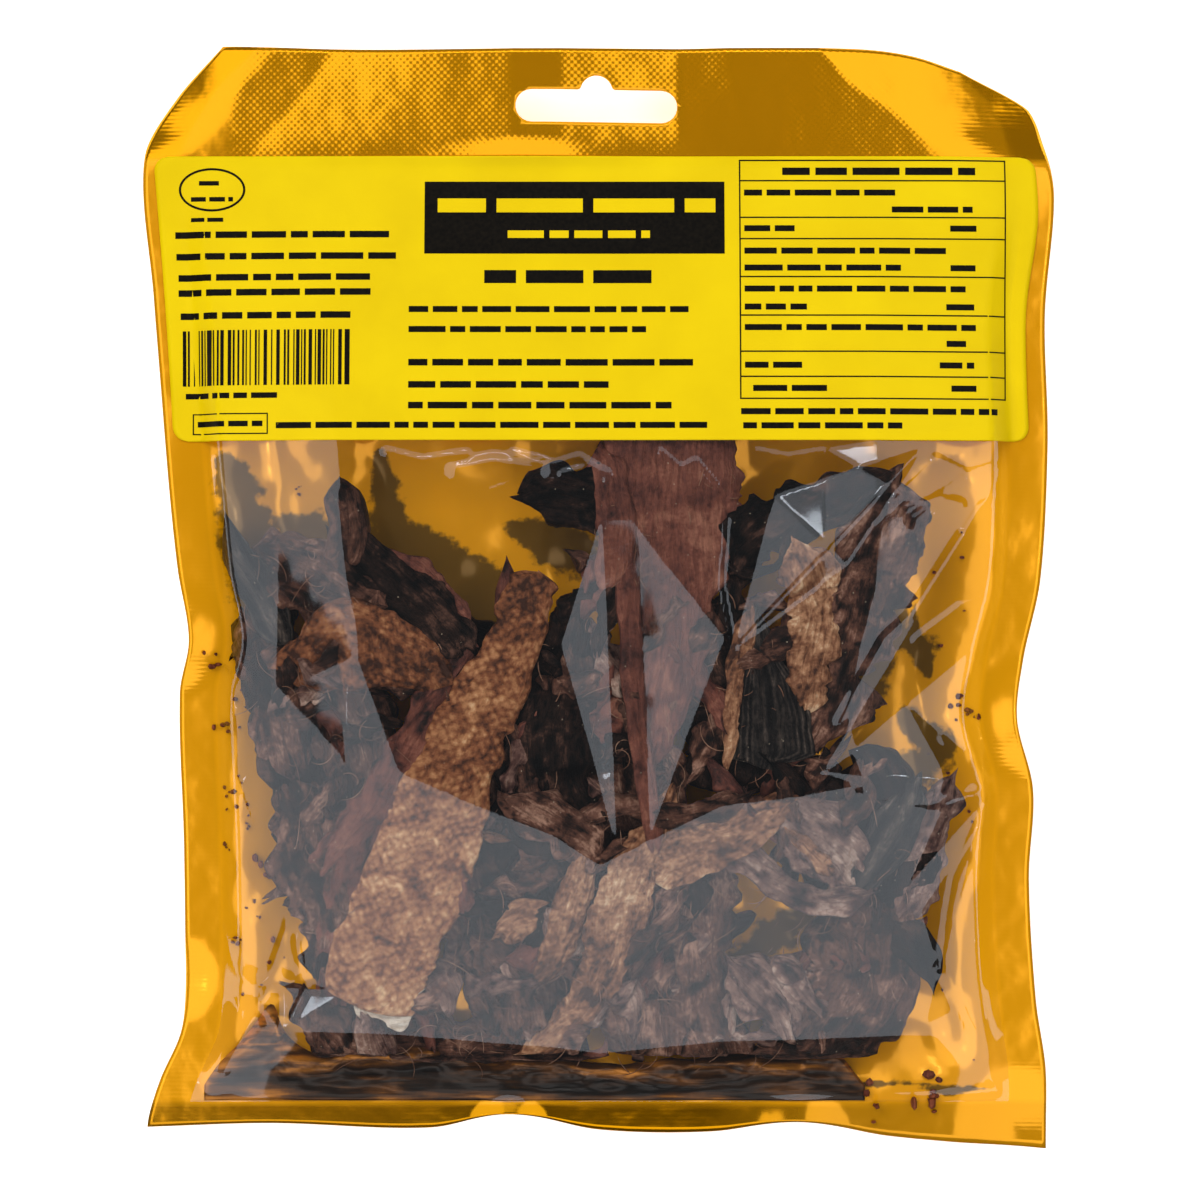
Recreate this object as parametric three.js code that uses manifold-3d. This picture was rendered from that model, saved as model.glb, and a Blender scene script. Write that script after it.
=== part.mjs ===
// A sealed pouch of dried barracuda fillet, lying on its back with its clear front up.
// Millimetres. +X is the pouch's right, +Y points to its hang hole, +Z is up. The origin is on
// the surface that the pouch lies on, under the middle of its outline.
//
// The back foil is one thin sheet: a shallow tray under the fish, with flat heat-sealed edges and
// a wide header. The filled window is the clear front film with the fish that it holds, one solid
// bulge with the folds that the film takes where it is pulled in at the seals. The label is a
// thin sheet that follows the film.
import * as THREE from "three";
import { mergeVertices } from "three/addons/utils/BufferGeometryUtils.js";
import Module from "manifold-3d";

// Driving dimensions
const SIDE_SEAL = 7.5; // width of the heat seal down each side
const WINDOW_BOTTOM = -100.5; // where the bottom seal ends and the filled part starts
const WINDOW_TOP = 86; // where the header's seal starts
const FOIL = 0.5; // thickness of the back foil with what is sealed to it
const RIM = 0.5; // thickness of the front film's solid where it starts at a seal
const GAP = 0.3; // between solids that touch
const FRONT_BULGE = 16; // how far the front stands above the seals
// How far in from the side seals, the bottom seal and the header the back reaches the surface
const BACK_REACH = { side: 16, bottom: 16, top: 66 };

// Edges of the pouch as seen from above: [along the edge, place of the edge]
const LEFT_EDGE = [
  [-110, -90.5], [-104, -90.2], [-96, -87.8], [-87, -83.8], [-80, -82.9], [-50, -83], [-19, -83.8],
  [-8, -81.8], [6, -84.2], [30, -86.4], [60, -88.8], [88, -90.5], [100, -84.3], [110, -75],
];
const RIGHT_EDGE = [
  [-110, 89.4], [-94, 89.2], [-80, 87.2], [-56, 85.8], [-38, 86.6], [-24, 83.2], [-12, 84.6],
  [4, 88], [30, 89.3], [56, 88.7], [80, 90.5], [90, 88.9], [99, 85.3], [110, 72],
];
const TOP_EDGE = [[-75, 110], [-40, 109], [50, 109.4], [62, 108.2], [72, 105.4]];
const BOTTOM_EDGE = [
  [-91, -105.6], [-66, -104.8], [-34, -105.7], [-18, -102.8], [0, -106.1], [22, -106.5], [40, -104.4],
  [58, -107.4], [89, -110],
];
const EDGE_WAVE_DEPTH = 12; // how far in from the top and bottom edges their waves reach

// Height of the sealed edges above the surface, up the pouch: [y, z]
const SEAL_HEIGHT = [[-110, 5], [-90, 5.4], [0, 6.6], [60, 8.2], [88, 9.6], [110, 10.4]];
// Where a seal buckles: [x, y, radius, rise]
const SEAL_BUCKLES = [
  [-86, -8, 13, 2.6], [88, -24, 14, 2.8], [-86, -76, 10, -2], [-18, -106, 9, 2.6], [40, -107, 11, 2],
  [84, -106, 14, -1.8], [-86, 26, 22, 1.2], [89, 40, 24, 1],
];
const HEADER_START = 84;
const HEADER_RISE = 10;
const HEADER_MIDDLE = 98;
// Height of the header's waves along its middle, straight between ridges and furrows, and how far
// each of their lines leans sideways for a millimetre up: [x, value]
const HEADER_WAVES = [
  [-90, -1.8], [-75, -0.6], [-61, -0.4], [-17, 2.9], [-8, 2.5], [16, -0.7], [28, 0.4], [56, 0.3],
  [70, -1.2], [90, -3.4],
];
const HEADER_SLANT = [[-63, 0.92], [-30, 0], [20, 0], [52, -1.45]];
// Where a top corner bends down: [x, y, radius, drop]
const CORNER_DROOPS = [[-93, 108, 23, 5.2], [92, 108, 34, 6.4]];

// The film's ridge across the window: [x, y]. The bulge falls from it to the bottom seal and to
// the header.
const RIDGE = [
  [-80, -28], [-57, -30], [-40, -33], [-24, -40], [-9, -46], [0, -52], [12, -46], [24, -40], [40, -38],
  [60, -34], [80, -34],
];
// Share of the full bulge: from the bottom seal (0) to the ridge (1), from the ridge (0) to the
// header (1), and by the distance in from a side seal
const FILL_BELOW = [[0, 0], [0.19, 0.48], [1, 1]];
const FILL_ABOVE = [[0, 1], [0.12, 0.97], [0.3, 0.84], [0.5, 0.64], [0.7, 0.43], [0.88, 0.2], [1, 0]];
const FILL_ACROSS = [[0, 0], [4, 0.5], [27, 0.95], [48, 1]];

// Folds in the front film: two flat facets that meet along a crest. Left and right are as seen
// when looking along the fold from its start, and give each facet's width at the fold's peak,
// from where it narrows to a point at both ends. A height below 0 is a furrow. The crest is level
// for flat millimetres to each side.
const FOLDS = [
  {
    name: "blades",
    from: [3.5, 16],
    to: [6.5, -48],
    left: 17,
    right: 9,
    height: 2.9,
    flat: 3.2,
    peak: 0.38,
  },
  {
    name: "right_band",
    from: [64, 30],
    to: [26, -10],
    left: 5,
    right: 15,
    height: 3.5,
    flat: 0,
    peak: 0.5,
  },
  {
    name: "right_ridge",
    from: [86, 36],
    to: [42, -36],
    left: 20,
    right: 32,
    height: 4.6,
    flat: 0,
    peak: 0.32,
  },
  {
    name: "left_ridge",
    from: [-64, 36],
    to: [-33, -50],
    left: 20,
    right: 18,
    height: 2.4,
    flat: 0,
    peak: 0.55,
  },
  {
    name: "left_star_upper",
    from: [-69, -78],
    to: [-58, -52],
    left: 8,
    right: 7,
    height: -1,
    flat: 0,
    peak: 0.2,
  },
  {
    name: "left_star_inner",
    from: [-69, -78],
    to: [-50, -78],
    left: 5,
    right: 8,
    height: -1.3,
    flat: 0,
    peak: 0.3,
  },
  {
    name: "left_star_lower",
    from: [-69, -78],
    to: [-79, -100],
    left: 6,
    right: 7,
    height: -1.6,
    flat: 0,
    peak: 0.2,
  },
  {
    name: "right_star_upper",
    from: [79, -37],
    to: [60, -20],
    left: 7,
    right: 7,
    height: -1.6,
    flat: 0,
    peak: 0.2,
  },
  {
    name: "right_star_inner",
    from: [79, -37],
    to: [40, -33],
    left: 6,
    right: 8,
    height: 1.8,
    flat: 0,
    peak: 0.3,
  },
  {
    name: "right_star_lower",
    from: [79, -37],
    to: [60, -58],
    left: 7,
    right: 7,
    height: -1.6,
    flat: 0,
    peak: 0.2,
  },
  {
    name: "low_star_upper",
    from: [67, -73],
    to: [77, -42],
    left: 7,
    right: 8,
    height: -1.6,
    flat: 0,
    peak: 0.3,
  },
  {
    name: "low_star_corner",
    from: [67, -73],
    to: [80, -100],
    left: 7,
    right: 7,
    height: -1.6,
    flat: 0,
    peak: 0.3,
  },
];

// Label: a rounded sheet stuck across the top of the window and both side seals. Its sides are
// pulled in with the film: [y, x]
const LABEL = { bottom: 31.3, top: 88, corner: 3, thickness: 0.4 };
const LABEL_LEFT = [[31, -84.8], [60, -86.6], [88, -88.7]];
const LABEL_RIGHT = [[31, 85.6], [44, 85], [58, 85], [75, 87.2], [88, 86.8]];
const LABEL_LIFT = 0.7; // clear of the faceted front

// Hang hole: a slot with round ends and a round peg notch in the middle of its upper side
const SLOT = { x: -0.6, y: 97.8, width: 32.1, height: 6.4, notchRadius: 3.2, notchRise: 2.8 };
const SLOT_FILLET = 0.8;

// Grid of the sheets
const STEEP_SIDE = 4; // width of the column beside each side seal
const COLUMNS = 30;
const ROWS = 38;
const SEAL_COLUMNS = 2;
const BOTTOM_ROWS = 2;
const HEADER_ROWS = 5;
const LABEL_COLUMNS = 30;
const LABEL_ROWS = 9;

const wasm = await Module();
wasm.setup();

const lerp = THREE.MathUtils.lerp;
const clamp01 = (t) => THREE.MathUtils.clamp(t, 0, 1);
const smooth = (t) => THREE.MathUtils.smoothstep(t, 0, 1);

// Slope of a smooth curve at its i-th station.
function slopeAt(stations, i) {
  const before = stations[Math.max(i - 1, 0)];
  const after = stations[Math.min(i + 1, stations.length - 1)];
  return (after[1] - before[1]) / (after[0] - before[0]);
}

// Value at t of a smooth curve through stations of [t, value], level beyond its ends.
function curveThrough(stations, t) {
  const last = stations.length - 1;
  if (t <= stations[0][0]) return stations[0][1];
  if (t >= stations[last][0]) return stations[last][1];
  const i = stations.findIndex((station) => station[0] > t) - 1;
  const [t0, a] = stations[i];
  const [t1, b] = stations[i + 1];
  const span = t1 - t0;
  const s = (t - t0) / span;
  const s2 = s * s;
  const s3 = s2 * s;
  return (
    a * (2 * s3 - 3 * s2 + 1) +
    b * (3 * s2 - 2 * s3) +
    slopeAt(stations, i) * span * (s3 - 2 * s2 + s) +
    slopeAt(stations, i + 1) * span * (s3 - s2)
  );
}

// Value at t of straight lines between stations of [t, value], level beyond their ends.
function straightThrough(stations, t) {
  const last = stations.length - 1;
  if (t <= stations[0][0]) return stations[0][1];
  if (t >= stations[last][0]) return stations[last][1];
  const i = stations.findIndex((station) => station[0] > t) - 1;
  const [t0, a] = stations[i];
  const [t1, b] = stations[i + 1];
  return lerp(a, b, (t - t0) / (t1 - t0));
}

const windowLeft = (y) => curveThrough(LEFT_EDGE, y) + SIDE_SEAL;
const windowRight = (y) => curveThrough(RIGHT_EDGE, y) - SIDE_SEAL;

// A round bump of height 1 at its middle and 0 from its radius on.
function roundBump(x, y, cx, cy, radius) {
  const share = clamp01(1 - Math.hypot(x - cx, y - cy) / radius);
  return smooth(share);
}

// Height of the plane in which the two films are sealed together.
function sealHeight(x, y) {
  let z = curveThrough(SEAL_HEIGHT, y);
  for (const [cx, cy, radius, rise] of SEAL_BUCKLES) z += rise * roundBump(x, y, cx, cy, radius);
  for (const [cx, cy, radius, drop] of CORNER_DROOPS) z -= drop * roundBump(x, y, cx, cy, radius);
  const slanted = x - straightThrough(HEADER_SLANT, x) * (y - HEADER_MIDDLE);
  const inHeader = smooth(clamp01((y - HEADER_START) / HEADER_RISE));
  return z + inHeader * straightThrough(HEADER_WAVES, slanted);
}

// Distance of a point from the nearer side seal, below 0 on the seals.
const insetAt = (x, y) => Math.min(x - windowLeft(y), windowRight(y) - x);

// Share of the full bulge at a point, 0 at and beyond the window's edges.
function fillAt(x, y) {
  const crest = straightThrough(RIDGE, x);
  const below = straightThrough(FILL_BELOW, (y - WINDOW_BOTTOM) / (crest - WINDOW_BOTTOM));
  const above = straightThrough(FILL_ABOVE, (y - crest) / (WINDOW_TOP - crest));
  return straightThrough(FILL_ACROSS, insetAt(x, y)) * Math.min(below, above);
}

// Height that one fold adds at a point.
function foldHeight(fold, x, y) {
  const [x0, y0] = fold.from;
  const [x1, y1] = fold.to;
  const length = Math.hypot(x1 - x0, y1 - y0);
  const tx = (x1 - x0) / length;
  const ty = (y1 - y0) / length;
  const along = ((x - x0) * tx + (y - y0) * ty) / length;
  const toLeft = (y - y0) * tx - (x - x0) * ty;
  const reach = toLeft > 0 ? fold.left : fold.right;
  const share = Math.min(along / fold.peak, (1 - along) / (1 - fold.peak));
  const distance = Math.max(Math.abs(toLeft) - fold.flat, 0);
  return fold.height * clamp01(share - distance / reach);
}

// Outer face of the back foil, flat on the surface under the fish.
function backHeight(x, y) {
  const side = smooth(clamp01(insetAt(x, y) / BACK_REACH.side));
  const low = smooth(clamp01((y - WINDOW_BOTTOM) / BACK_REACH.bottom));
  const high = clamp01((WINDOW_TOP - y) / BACK_REACH.top);
  return sealHeight(x, y) * (1 - side * low * high);
}

// Outer face of the front film, and of the layer that the label lies on beside it.
function frontHeight(x, y) {
  const bulge = fillAt(x, y);
  const rest = sealHeight(x, y) + FOIL + GAP + RIM + FRONT_BULGE * bulge;
  const folds = FOLDS.reduce((sum, fold) => sum + foldHeight(fold, x, y), 0);
  const rim = smooth(clamp01(bulge * 5)); // folds end where the film is sealed
  return Math.max(rest + folds * rim, backHeight(x, y) + FOIL + GAP + RIM);
}

// Grid lines across the pouch at height y: both seals and the window between them, whose steep
// sides have a line of their own.
function columnPlaces(y) {
  const outerLeft = curveThrough(LEFT_EDGE, y);
  const outerRight = curveThrough(RIGHT_EDGE, y);
  const left = windowLeft(y);
  const right = windowRight(y);
  const places = [];
  for (let i = 0; i < SEAL_COLUMNS; i++) places.push(outerLeft + (SIDE_SEAL * i) / SEAL_COLUMNS);
  places.push(left);
  for (let i = 0; i <= COLUMNS - 2; i++)
    places.push(lerp(left + STEEP_SIDE, right - STEEP_SIDE, i / (COLUMNS - 2)));
  places.push(right);
  for (let i = 1; i <= SEAL_COLUMNS; i++)
    places.push(outerRight - SIDE_SEAL + (SIDE_SEAL * i) / SEAL_COLUMNS);
  return places;
}

// Grid lines up the pouch, before its top and bottom edges take their waves.
function rowPlaces() {
  const bottom = -106;
  const top = 110;
  const rows = [];
  for (let i = 0; i < BOTTOM_ROWS; i++) rows.push(lerp(bottom, WINDOW_BOTTOM, i / BOTTOM_ROWS));
  for (let i = 0; i <= ROWS; i++) {
    const even = i / ROWS;
    rows.push(lerp(WINDOW_BOTTOM, WINDOW_TOP, lerp(even, even * even, 0.35)));
  }
  for (let i = 1; i <= HEADER_ROWS; i++) rows.push(lerp(WINDOW_TOP, top, i / HEADER_ROWS));
  return rows;
}

// Plan of the whole pouch as rows of points [x, y].
function pouchPlan() {
  const rows = rowPlaces();
  const bottom = rows[0];
  const top = rows[rows.length - 1];
  return rows.map((y) =>
    columnPlaces(y).map((x) => {
      const low = y < WINDOW_BOTTOM ? (WINDOW_BOTTOM - y) / (WINDOW_BOTTOM - bottom) : 0;
      const high = clamp01((y - top + EDGE_WAVE_DEPTH) / EDGE_WAVE_DEPTH);
      const lift =
        low * (curveThrough(BOTTOM_EDGE, x) - bottom) + high * (curveThrough(TOP_EDGE, x) - top);
      return [x, y + lift];
    }),
  );
}

// The part of the plan inside the seals.
function windowPlan() {
  return pouchPlan()
    .slice(BOTTOM_ROWS, BOTTOM_ROWS + ROWS + 1)
    .map((row) => row.slice(SEAL_COLUMNS, SEAL_COLUMNS + COLUMNS + 1));
}

// Plan of the label, with its corners rounded and lines of its own over the window's steep sides.
function labelPlan() {
  const { bottom, top, corner } = LABEL;
  const share = (i, count) => 0.5 - 0.5 * Math.cos((Math.PI * i) / count);
  const plan = [];
  for (let j = 0; j <= LABEL_ROWS; j++) {
    const y = lerp(bottom, top, lerp(j / LABEL_ROWS, share(j, LABEL_ROWS), 0.7));
    const toEdge = Math.max(0, corner - Math.min(y - bottom, top - y));
    const inset = corner - Math.sqrt(corner * corner - toEdge * toEdge);
    const left = windowLeft(y);
    const right = windowRight(y);
    const places = [curveThrough(LABEL_LEFT, y) + inset, left];
    for (let i = 0; i <= LABEL_COLUMNS - 4; i++)
      places.push(lerp(left + STEEP_SIDE, right - STEEP_SIDE, i / (LABEL_COLUMNS - 4)));
    places.push(right, curveThrough(LABEL_RIGHT, y) - inset);
    plan.push(places.map((x) => [x, y]));
  }
  return plan;
}

// Closed solid between two height functions over a plan of points in rows. Both faces are split
// along the same diagonals, so that a thin sheet keeps its thickness.
function sheetSolid(plan, lower, upper) {
  const rows = plan.length;
  const columns = plan[0].length;
  const positions = [];
  for (const height of [upper, lower])
    for (const row of plan) for (const [x, y] of row) positions.push(x, y, height(x, y));
  const top = (j, i) => j * columns + i;
  const under = (j, i) => rows * columns + top(j, i);
  const faces = [];
  const quad = (a, b, c, d) => faces.push(a, b, c, a, c, d);
  for (let j = 0; j < rows - 1; j++)
    for (let i = 0; i < columns - 1; i++) {
      quad(top(j, i), top(j, i + 1), top(j + 1, i + 1), top(j + 1, i));
      quad(under(j, i), under(j + 1, i), under(j + 1, i + 1), under(j, i + 1));
    }
  // Walls round the edge
  for (let i = 0; i < columns - 1; i++) {
    quad(top(0, i), under(0, i), under(0, i + 1), top(0, i + 1));
    quad(top(rows - 1, i + 1), under(rows - 1, i + 1), under(rows - 1, i), top(rows - 1, i));
  }
  for (let j = 0; j < rows - 1; j++) {
    quad(top(j + 1, 0), under(j + 1, 0), under(j, 0), top(j, 0));
    quad(top(j, columns - 1), under(j, columns - 1), under(j + 1, columns - 1), top(j + 1, columns - 1));
  }
  const geometry = new THREE.BufferGeometry();
  geometry.setAttribute("position", new THREE.Float32BufferAttribute(positions, 3));
  geometry.setIndex(faces);
  return geometry;
}

// Outline of the hang hole.
function slotShape() {
  const { x, y, width, height, notchRadius, notchRise } = SLOT;
  const half = height / 2;
  const straight = width / 2 - half;
  const notchY = y + notchRise;
  // The notch's circle meets the fillets at each side of it.
  const reach = Math.sqrt((notchRadius + SLOT_FILLET) ** 2 - (y + half + SLOT_FILLET - notchY) ** 2);
  const touch = Math.atan2(y + half + SLOT_FILLET - notchY, reach);
  const shape = new THREE.Shape();
  shape.moveTo(x - straight, y - half);
  shape.lineTo(x + straight, y - half);
  shape.absarc(x + straight, y, half, -Math.PI / 2, Math.PI / 2, false);
  shape.lineTo(x + reach, y + half);
  shape.absarc(x + reach, y + half + SLOT_FILLET, SLOT_FILLET, -Math.PI / 2, -Math.PI + touch, true);
  shape.absarc(x, notchY, notchRadius, touch, Math.PI - touch, false);
  shape.absarc(x - reach, y + half + SLOT_FILLET, SLOT_FILLET, -touch, -Math.PI / 2, true);
  shape.lineTo(x - straight, y + half);
  shape.absarc(x - straight, y, half, Math.PI / 2, (3 * Math.PI) / 2, false);
  return shape;
}

// A closed three.js geometry as a solid that can be cut.
function toSolid(geometry) {
  const bare = geometry.clone();
  bare.deleteAttribute("normal");
  bare.deleteAttribute("uv");
  const merged = mergeVertices(bare, 1e-4);
  return new wasm.Manifold(
    new wasm.Mesh({
      numProp: 3,
      vertProperties: merged.attributes.position.array,
      triVerts: new Uint32Array(merged.index.array),
    }),
  );
}

// A cut solid as a three.js geometry.
function toGeometry(solid) {
  const mesh = solid.getMesh();
  const geometry = new THREE.BufferGeometry();
  geometry.setAttribute("position", new THREE.BufferAttribute(mesh.vertProperties, 3));
  geometry.setIndex(new THREE.BufferAttribute(mesh.triVerts, 1));
  return geometry;
}

// A named piece with its material.
function piece(name, geometry, material) {
  geometry.computeVertexNormals();
  const mesh = new THREE.Mesh(geometry, new THREE.MeshStandardMaterial(material));
  mesh.name = name;
  return mesh;
}

// Metallised back film: tray, seals and header, with the hang hole cut through.
function backFoil() {
  const sheet = toSolid(sheetSolid(pouchPlan(), backHeight, (x, y) => backHeight(x, y) + FOIL));
  const cutter = new THREE.ExtrudeGeometry(slotShape(), {
    depth: 30,
    bevelEnabled: false,
    curveSegments: 10,
  });
  return piece("back_foil", toGeometry(sheet.subtract(toSolid(cutter))), {
    color: 0xd29a12,
    roughness: 0.28,
    metalness: 0.9,
  });
}

// Clear front film with the dried fish that fills it.
function filledWindow() {
  const lower = (x, y) => backHeight(x, y) + FOIL + GAP;
  return piece("filled_window", sheetSolid(windowPlan(), lower, frontHeight), {
    color: 0x4a342c,
    roughness: 0.3,
    metalness: 0,
  });
}

// Printed label over the top of the window.
function label() {
  const lower = (x, y) => frontHeight(x, y) + LABEL_LIFT;
  const upper = (x, y) => lower(x, y) + LABEL.thickness;
  return piece("label", sheetSolid(labelPlan(), lower, upper), {
    color: 0xf2dc08,
    roughness: 0.45,
    metalness: 0,
  });
}

const pouch = new THREE.Group();
pouch.add(backFoil(), filledWindow(), label());

export default pouch;
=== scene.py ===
"""A sealed pouch of dried barracuda fillet, lying on its back on a pale studio floor.

All sizes are millimetres in the pouch's own frame: +X is its right, +Y points to the hang hole and
+Z is up, out of the clear front. Meshes are written in metres. The film, the foil and the label
follow one form, PouchForm, so that each lies on the next, and every fish piece is kept between the
foil under it and the film over it.
"""

from __future__ import annotations

import logging
import math
from dataclasses import dataclass, replace
from enum import Enum

import bpy
import numpy as np
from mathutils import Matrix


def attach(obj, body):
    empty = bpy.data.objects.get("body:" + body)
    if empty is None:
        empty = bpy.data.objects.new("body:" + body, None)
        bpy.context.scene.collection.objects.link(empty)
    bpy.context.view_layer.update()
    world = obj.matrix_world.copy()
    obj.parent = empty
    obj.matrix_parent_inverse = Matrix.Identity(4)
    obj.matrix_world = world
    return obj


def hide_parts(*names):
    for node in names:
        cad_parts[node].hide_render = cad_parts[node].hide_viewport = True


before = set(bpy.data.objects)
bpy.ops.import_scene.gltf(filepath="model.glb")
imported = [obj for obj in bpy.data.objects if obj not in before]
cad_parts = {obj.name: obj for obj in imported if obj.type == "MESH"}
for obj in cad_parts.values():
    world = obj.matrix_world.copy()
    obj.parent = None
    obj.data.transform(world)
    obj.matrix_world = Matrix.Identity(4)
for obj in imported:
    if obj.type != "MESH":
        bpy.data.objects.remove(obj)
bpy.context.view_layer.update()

MM = 0.001
TAU = 2.0 * math.pi

Array = np.ndarray
Station = tuple[float, ...]
Stations = tuple[tuple[float, float], ...]

log = logging.getLogger("pouch")


# ---- Numbers and noise ----


def linear(code: str, alpha: float = 1.0) -> tuple[float, float, float, float]:
    """Turns an sRGB hex colour into the linear colour that a shader takes.

    Each channel c is c / 12.92 up to 0.04045, and ((c + 0.055) / 1.055) to the power 2.4 above it.

    Args:
        code: six hex digits after a hash.
        alpha: the fourth value of the result.

    Returns:
        Red, green, blue and alpha from 0 to 1.
    """
    values = (int(code[i : i + 2], 16) / 255.0 for i in (1, 3, 5))
    red, green, blue = (c / 12.92 if c <= 0.04045 else ((c + 0.055) / 1.055) ** 2.4 for c in values)
    return red, green, blue, alpha


def smooth(share: Array) -> Array:
    """Eases a share from 0 to 1: 3 s squared less 2 s cubed, held at 0 and 1 outside."""
    s = np.clip(share, 0.0, 1.0)
    return s * s * (3.0 - 2.0 * s)


def through(stations: Stations, t: Array) -> Array:
    """Reads a smooth curve through stations, level beyond its ends.

    Between two stations it is the cubic whose slopes there are those of the chords between each
    station's neighbours.

    Args:
        stations: pairs of place and value, in rising order of place.
        t: the places to read.

    Returns:
        The values at t.
    """
    places, values = np.array(stations, dtype=float).T
    before = np.r_[0, np.arange(len(places) - 1)]
    after = np.r_[np.arange(1, len(places)), len(places) - 1]
    slopes = (values[after] - values[before]) / (places[after] - places[before])
    held = np.clip(t, places[0], places[-1])
    i = np.clip(np.searchsorted(places, held, side="right") - 1, 0, len(places) - 2)
    span = places[i + 1] - places[i]
    s = (held - places[i]) / span
    s2, s3 = s * s, s * s * s
    return (
        values[i] * (2 * s3 - 3 * s2 + 1)
        + values[i + 1] * (3 * s2 - 2 * s3)
        + slopes[i] * span * (s3 - 2 * s2 + s)
        + slopes[i + 1] * span * (s3 - s2)
    )


def straight(stations: Stations, t: Array) -> Array:
    """Reads straight lines between stations, level beyond their ends.

    Args:
        stations: pairs of place and value, in rising order of place.
        t: the places to read.

    Returns:
        The values at t.
    """
    places, values = np.array(stations, dtype=float).T
    return np.interp(t, places, values)


def beside(x: Array, y: Array, start: Station, end: Station) -> tuple[Array, Array]:
    """Finds where points lie beside a straight segment, by projection held within its ends.

    Args:
        x: places across.
        y: places up.
        start: the segment's first point, from its first two numbers.
        end: its last point.

    Returns:
        The share of the segment up to its nearest point, and the distance to that point.
    """
    dx, dy = end[0] - start[0], end[1] - start[1]
    share = np.clip(((x - start[0]) * dx + (y - start[1]) * dy) / (dx * dx + dy * dy), 0.0, 1.0)
    return share, np.hypot(x - start[0] - share * dx, y - start[1] - share * dy)


def hashed(cell: Array, seed: int) -> Array:
    """Gives every whole-numbered cell a fixed value from -1 to 1, by mixing its numbers' bits.

    Args:
        cell: whole numbers, the last axis being x, y and z.
        seed: picks another set of values.

    Returns:
        One value for each cell.
    """
    mask = 0xFFFFFFFF
    h = (cell[..., 0] * 374761393 + cell[..., 1] * 668265263 + cell[..., 2] * 1440662683) & mask
    h = (h + seed * 1013904223) & mask
    h = ((h ^ (h >> 13)) * 1274126177) & mask
    h = ((h ^ (h >> 15)) * 374761393) & mask
    return ((h ^ (h >> 16)) & 0xFFFF) / 32767.5 - 1.0


def noise(points: Array, size: float | tuple[float, float, float], seed: int, octaves: int = 1) -> Array:
    """Smooth noise from about -1 to 1: each cell corner's hashed value, eased between corners.

    Each further octave halves the size and the strength.

    Args:
        points: places in millimetres, the last axis being x, y and z.
        size: how wide the largest features are, in millimetres, or one width for each axis.
        seed: picks another pattern.
        octaves: how many sizes are added up.

    Returns:
        One value for each point.
    """
    total = np.zeros(points.shape[:-1])
    strength, reach = 1.0, 0.0
    scaled = points / np.array(size, dtype=float)
    for octave in range(octaves):
        base = np.floor(scaled).astype(np.int64)
        part = smooth(scaled - base)
        value = np.zeros(points.shape[:-1])
        for corner in np.ndindex(2, 2, 2):
            weight = np.prod(np.where(np.array(corner) == 1, part, 1.0 - part), axis=-1)
            value += weight * hashed(base + np.array(corner), seed + 31 * octave)
        total += strength * value
        reach += strength
        strength *= 0.5
        # A little more than twice as fine, and moved, so that no corners of two octaves meet.
        scaled = scaled * 2.03 + 17.7
    # Eased values stay well inside -1 to 1, so they are spread to fill it.
    return total / reach * 1.6


def stack(*parts: Array | float) -> Array:
    """Joins coordinates along a new last axis, after making them the same shape."""
    return np.stack(np.broadcast_arrays(*parts), axis=-1).astype(float)


# ---- Form of the pouch ----


@dataclass(frozen=True)
class Fold:
    """A straight fold of the front film: two flat facets that meet along its crest.

    Left and right are as seen when looking along the fold from its start, and give how wide each
    facet is at the fold's peak, from where it narrows to a point at both ends. A height below 0 is
    a furrow. The crest is level for flat millimetres to each side.
    """

    start: tuple[float, float]
    end: tuple[float, float]
    left: float
    right: float
    height: float
    flat: float = 0.0
    peak: float = 0.5

    def lift(self, x: Array, y: Array) -> Array:
        """Height that the fold adds.

        It is the height times what is left of the fold's share at that length, which falls evenly
        from 1 at the peak to 0 at the ends, after taking off the distance over the facet's width.

        Args:
            x: places across the pouch.
            y: places up the pouch.

        Returns:
            The added height at each place.
        """
        (x0, y0), (x1, y1) = self.start, self.end
        length = math.hypot(x1 - x0, y1 - y0)
        tx, ty = (x1 - x0) / length, (y1 - y0) / length
        along = ((x - x0) * tx + (y - y0) * ty) / length
        to_left = (y - y0) * tx - (x - x0) * ty
        reach = np.where(to_left > 0, self.left, self.right)
        share = np.minimum(along / self.peak, (1.0 - along) / (1.0 - self.peak))
        distance = np.maximum(np.abs(to_left) - self.flat, 0.0)
        return self.height * np.clip(share - distance / reach, 0.0, 1.0)


@dataclass(frozen=True)
class Crease:
    """A thin sharp crease of the film along a broken line."""

    line: Stations
    height: float = 0.35
    width: float = 1.1

    def lift(self, x: Array, y: Array) -> Array:
        """Height that the crease adds: half a cosine wave across, highest on the line.

        Args:
            x: places across the pouch.
            y: places up the pouch.

        Returns:
            The added height at each place.
        """
        nearest = np.full(x.shape, np.inf)
        for start, end in zip(self.line[:-1], self.line[1:], strict=True):
            nearest = np.minimum(nearest, beside(x, y, start, end)[1])
        return self.height * (0.5 + 0.5 * np.cos(math.pi * np.clip(nearest / self.width, 0.0, 1.0)))


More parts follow.
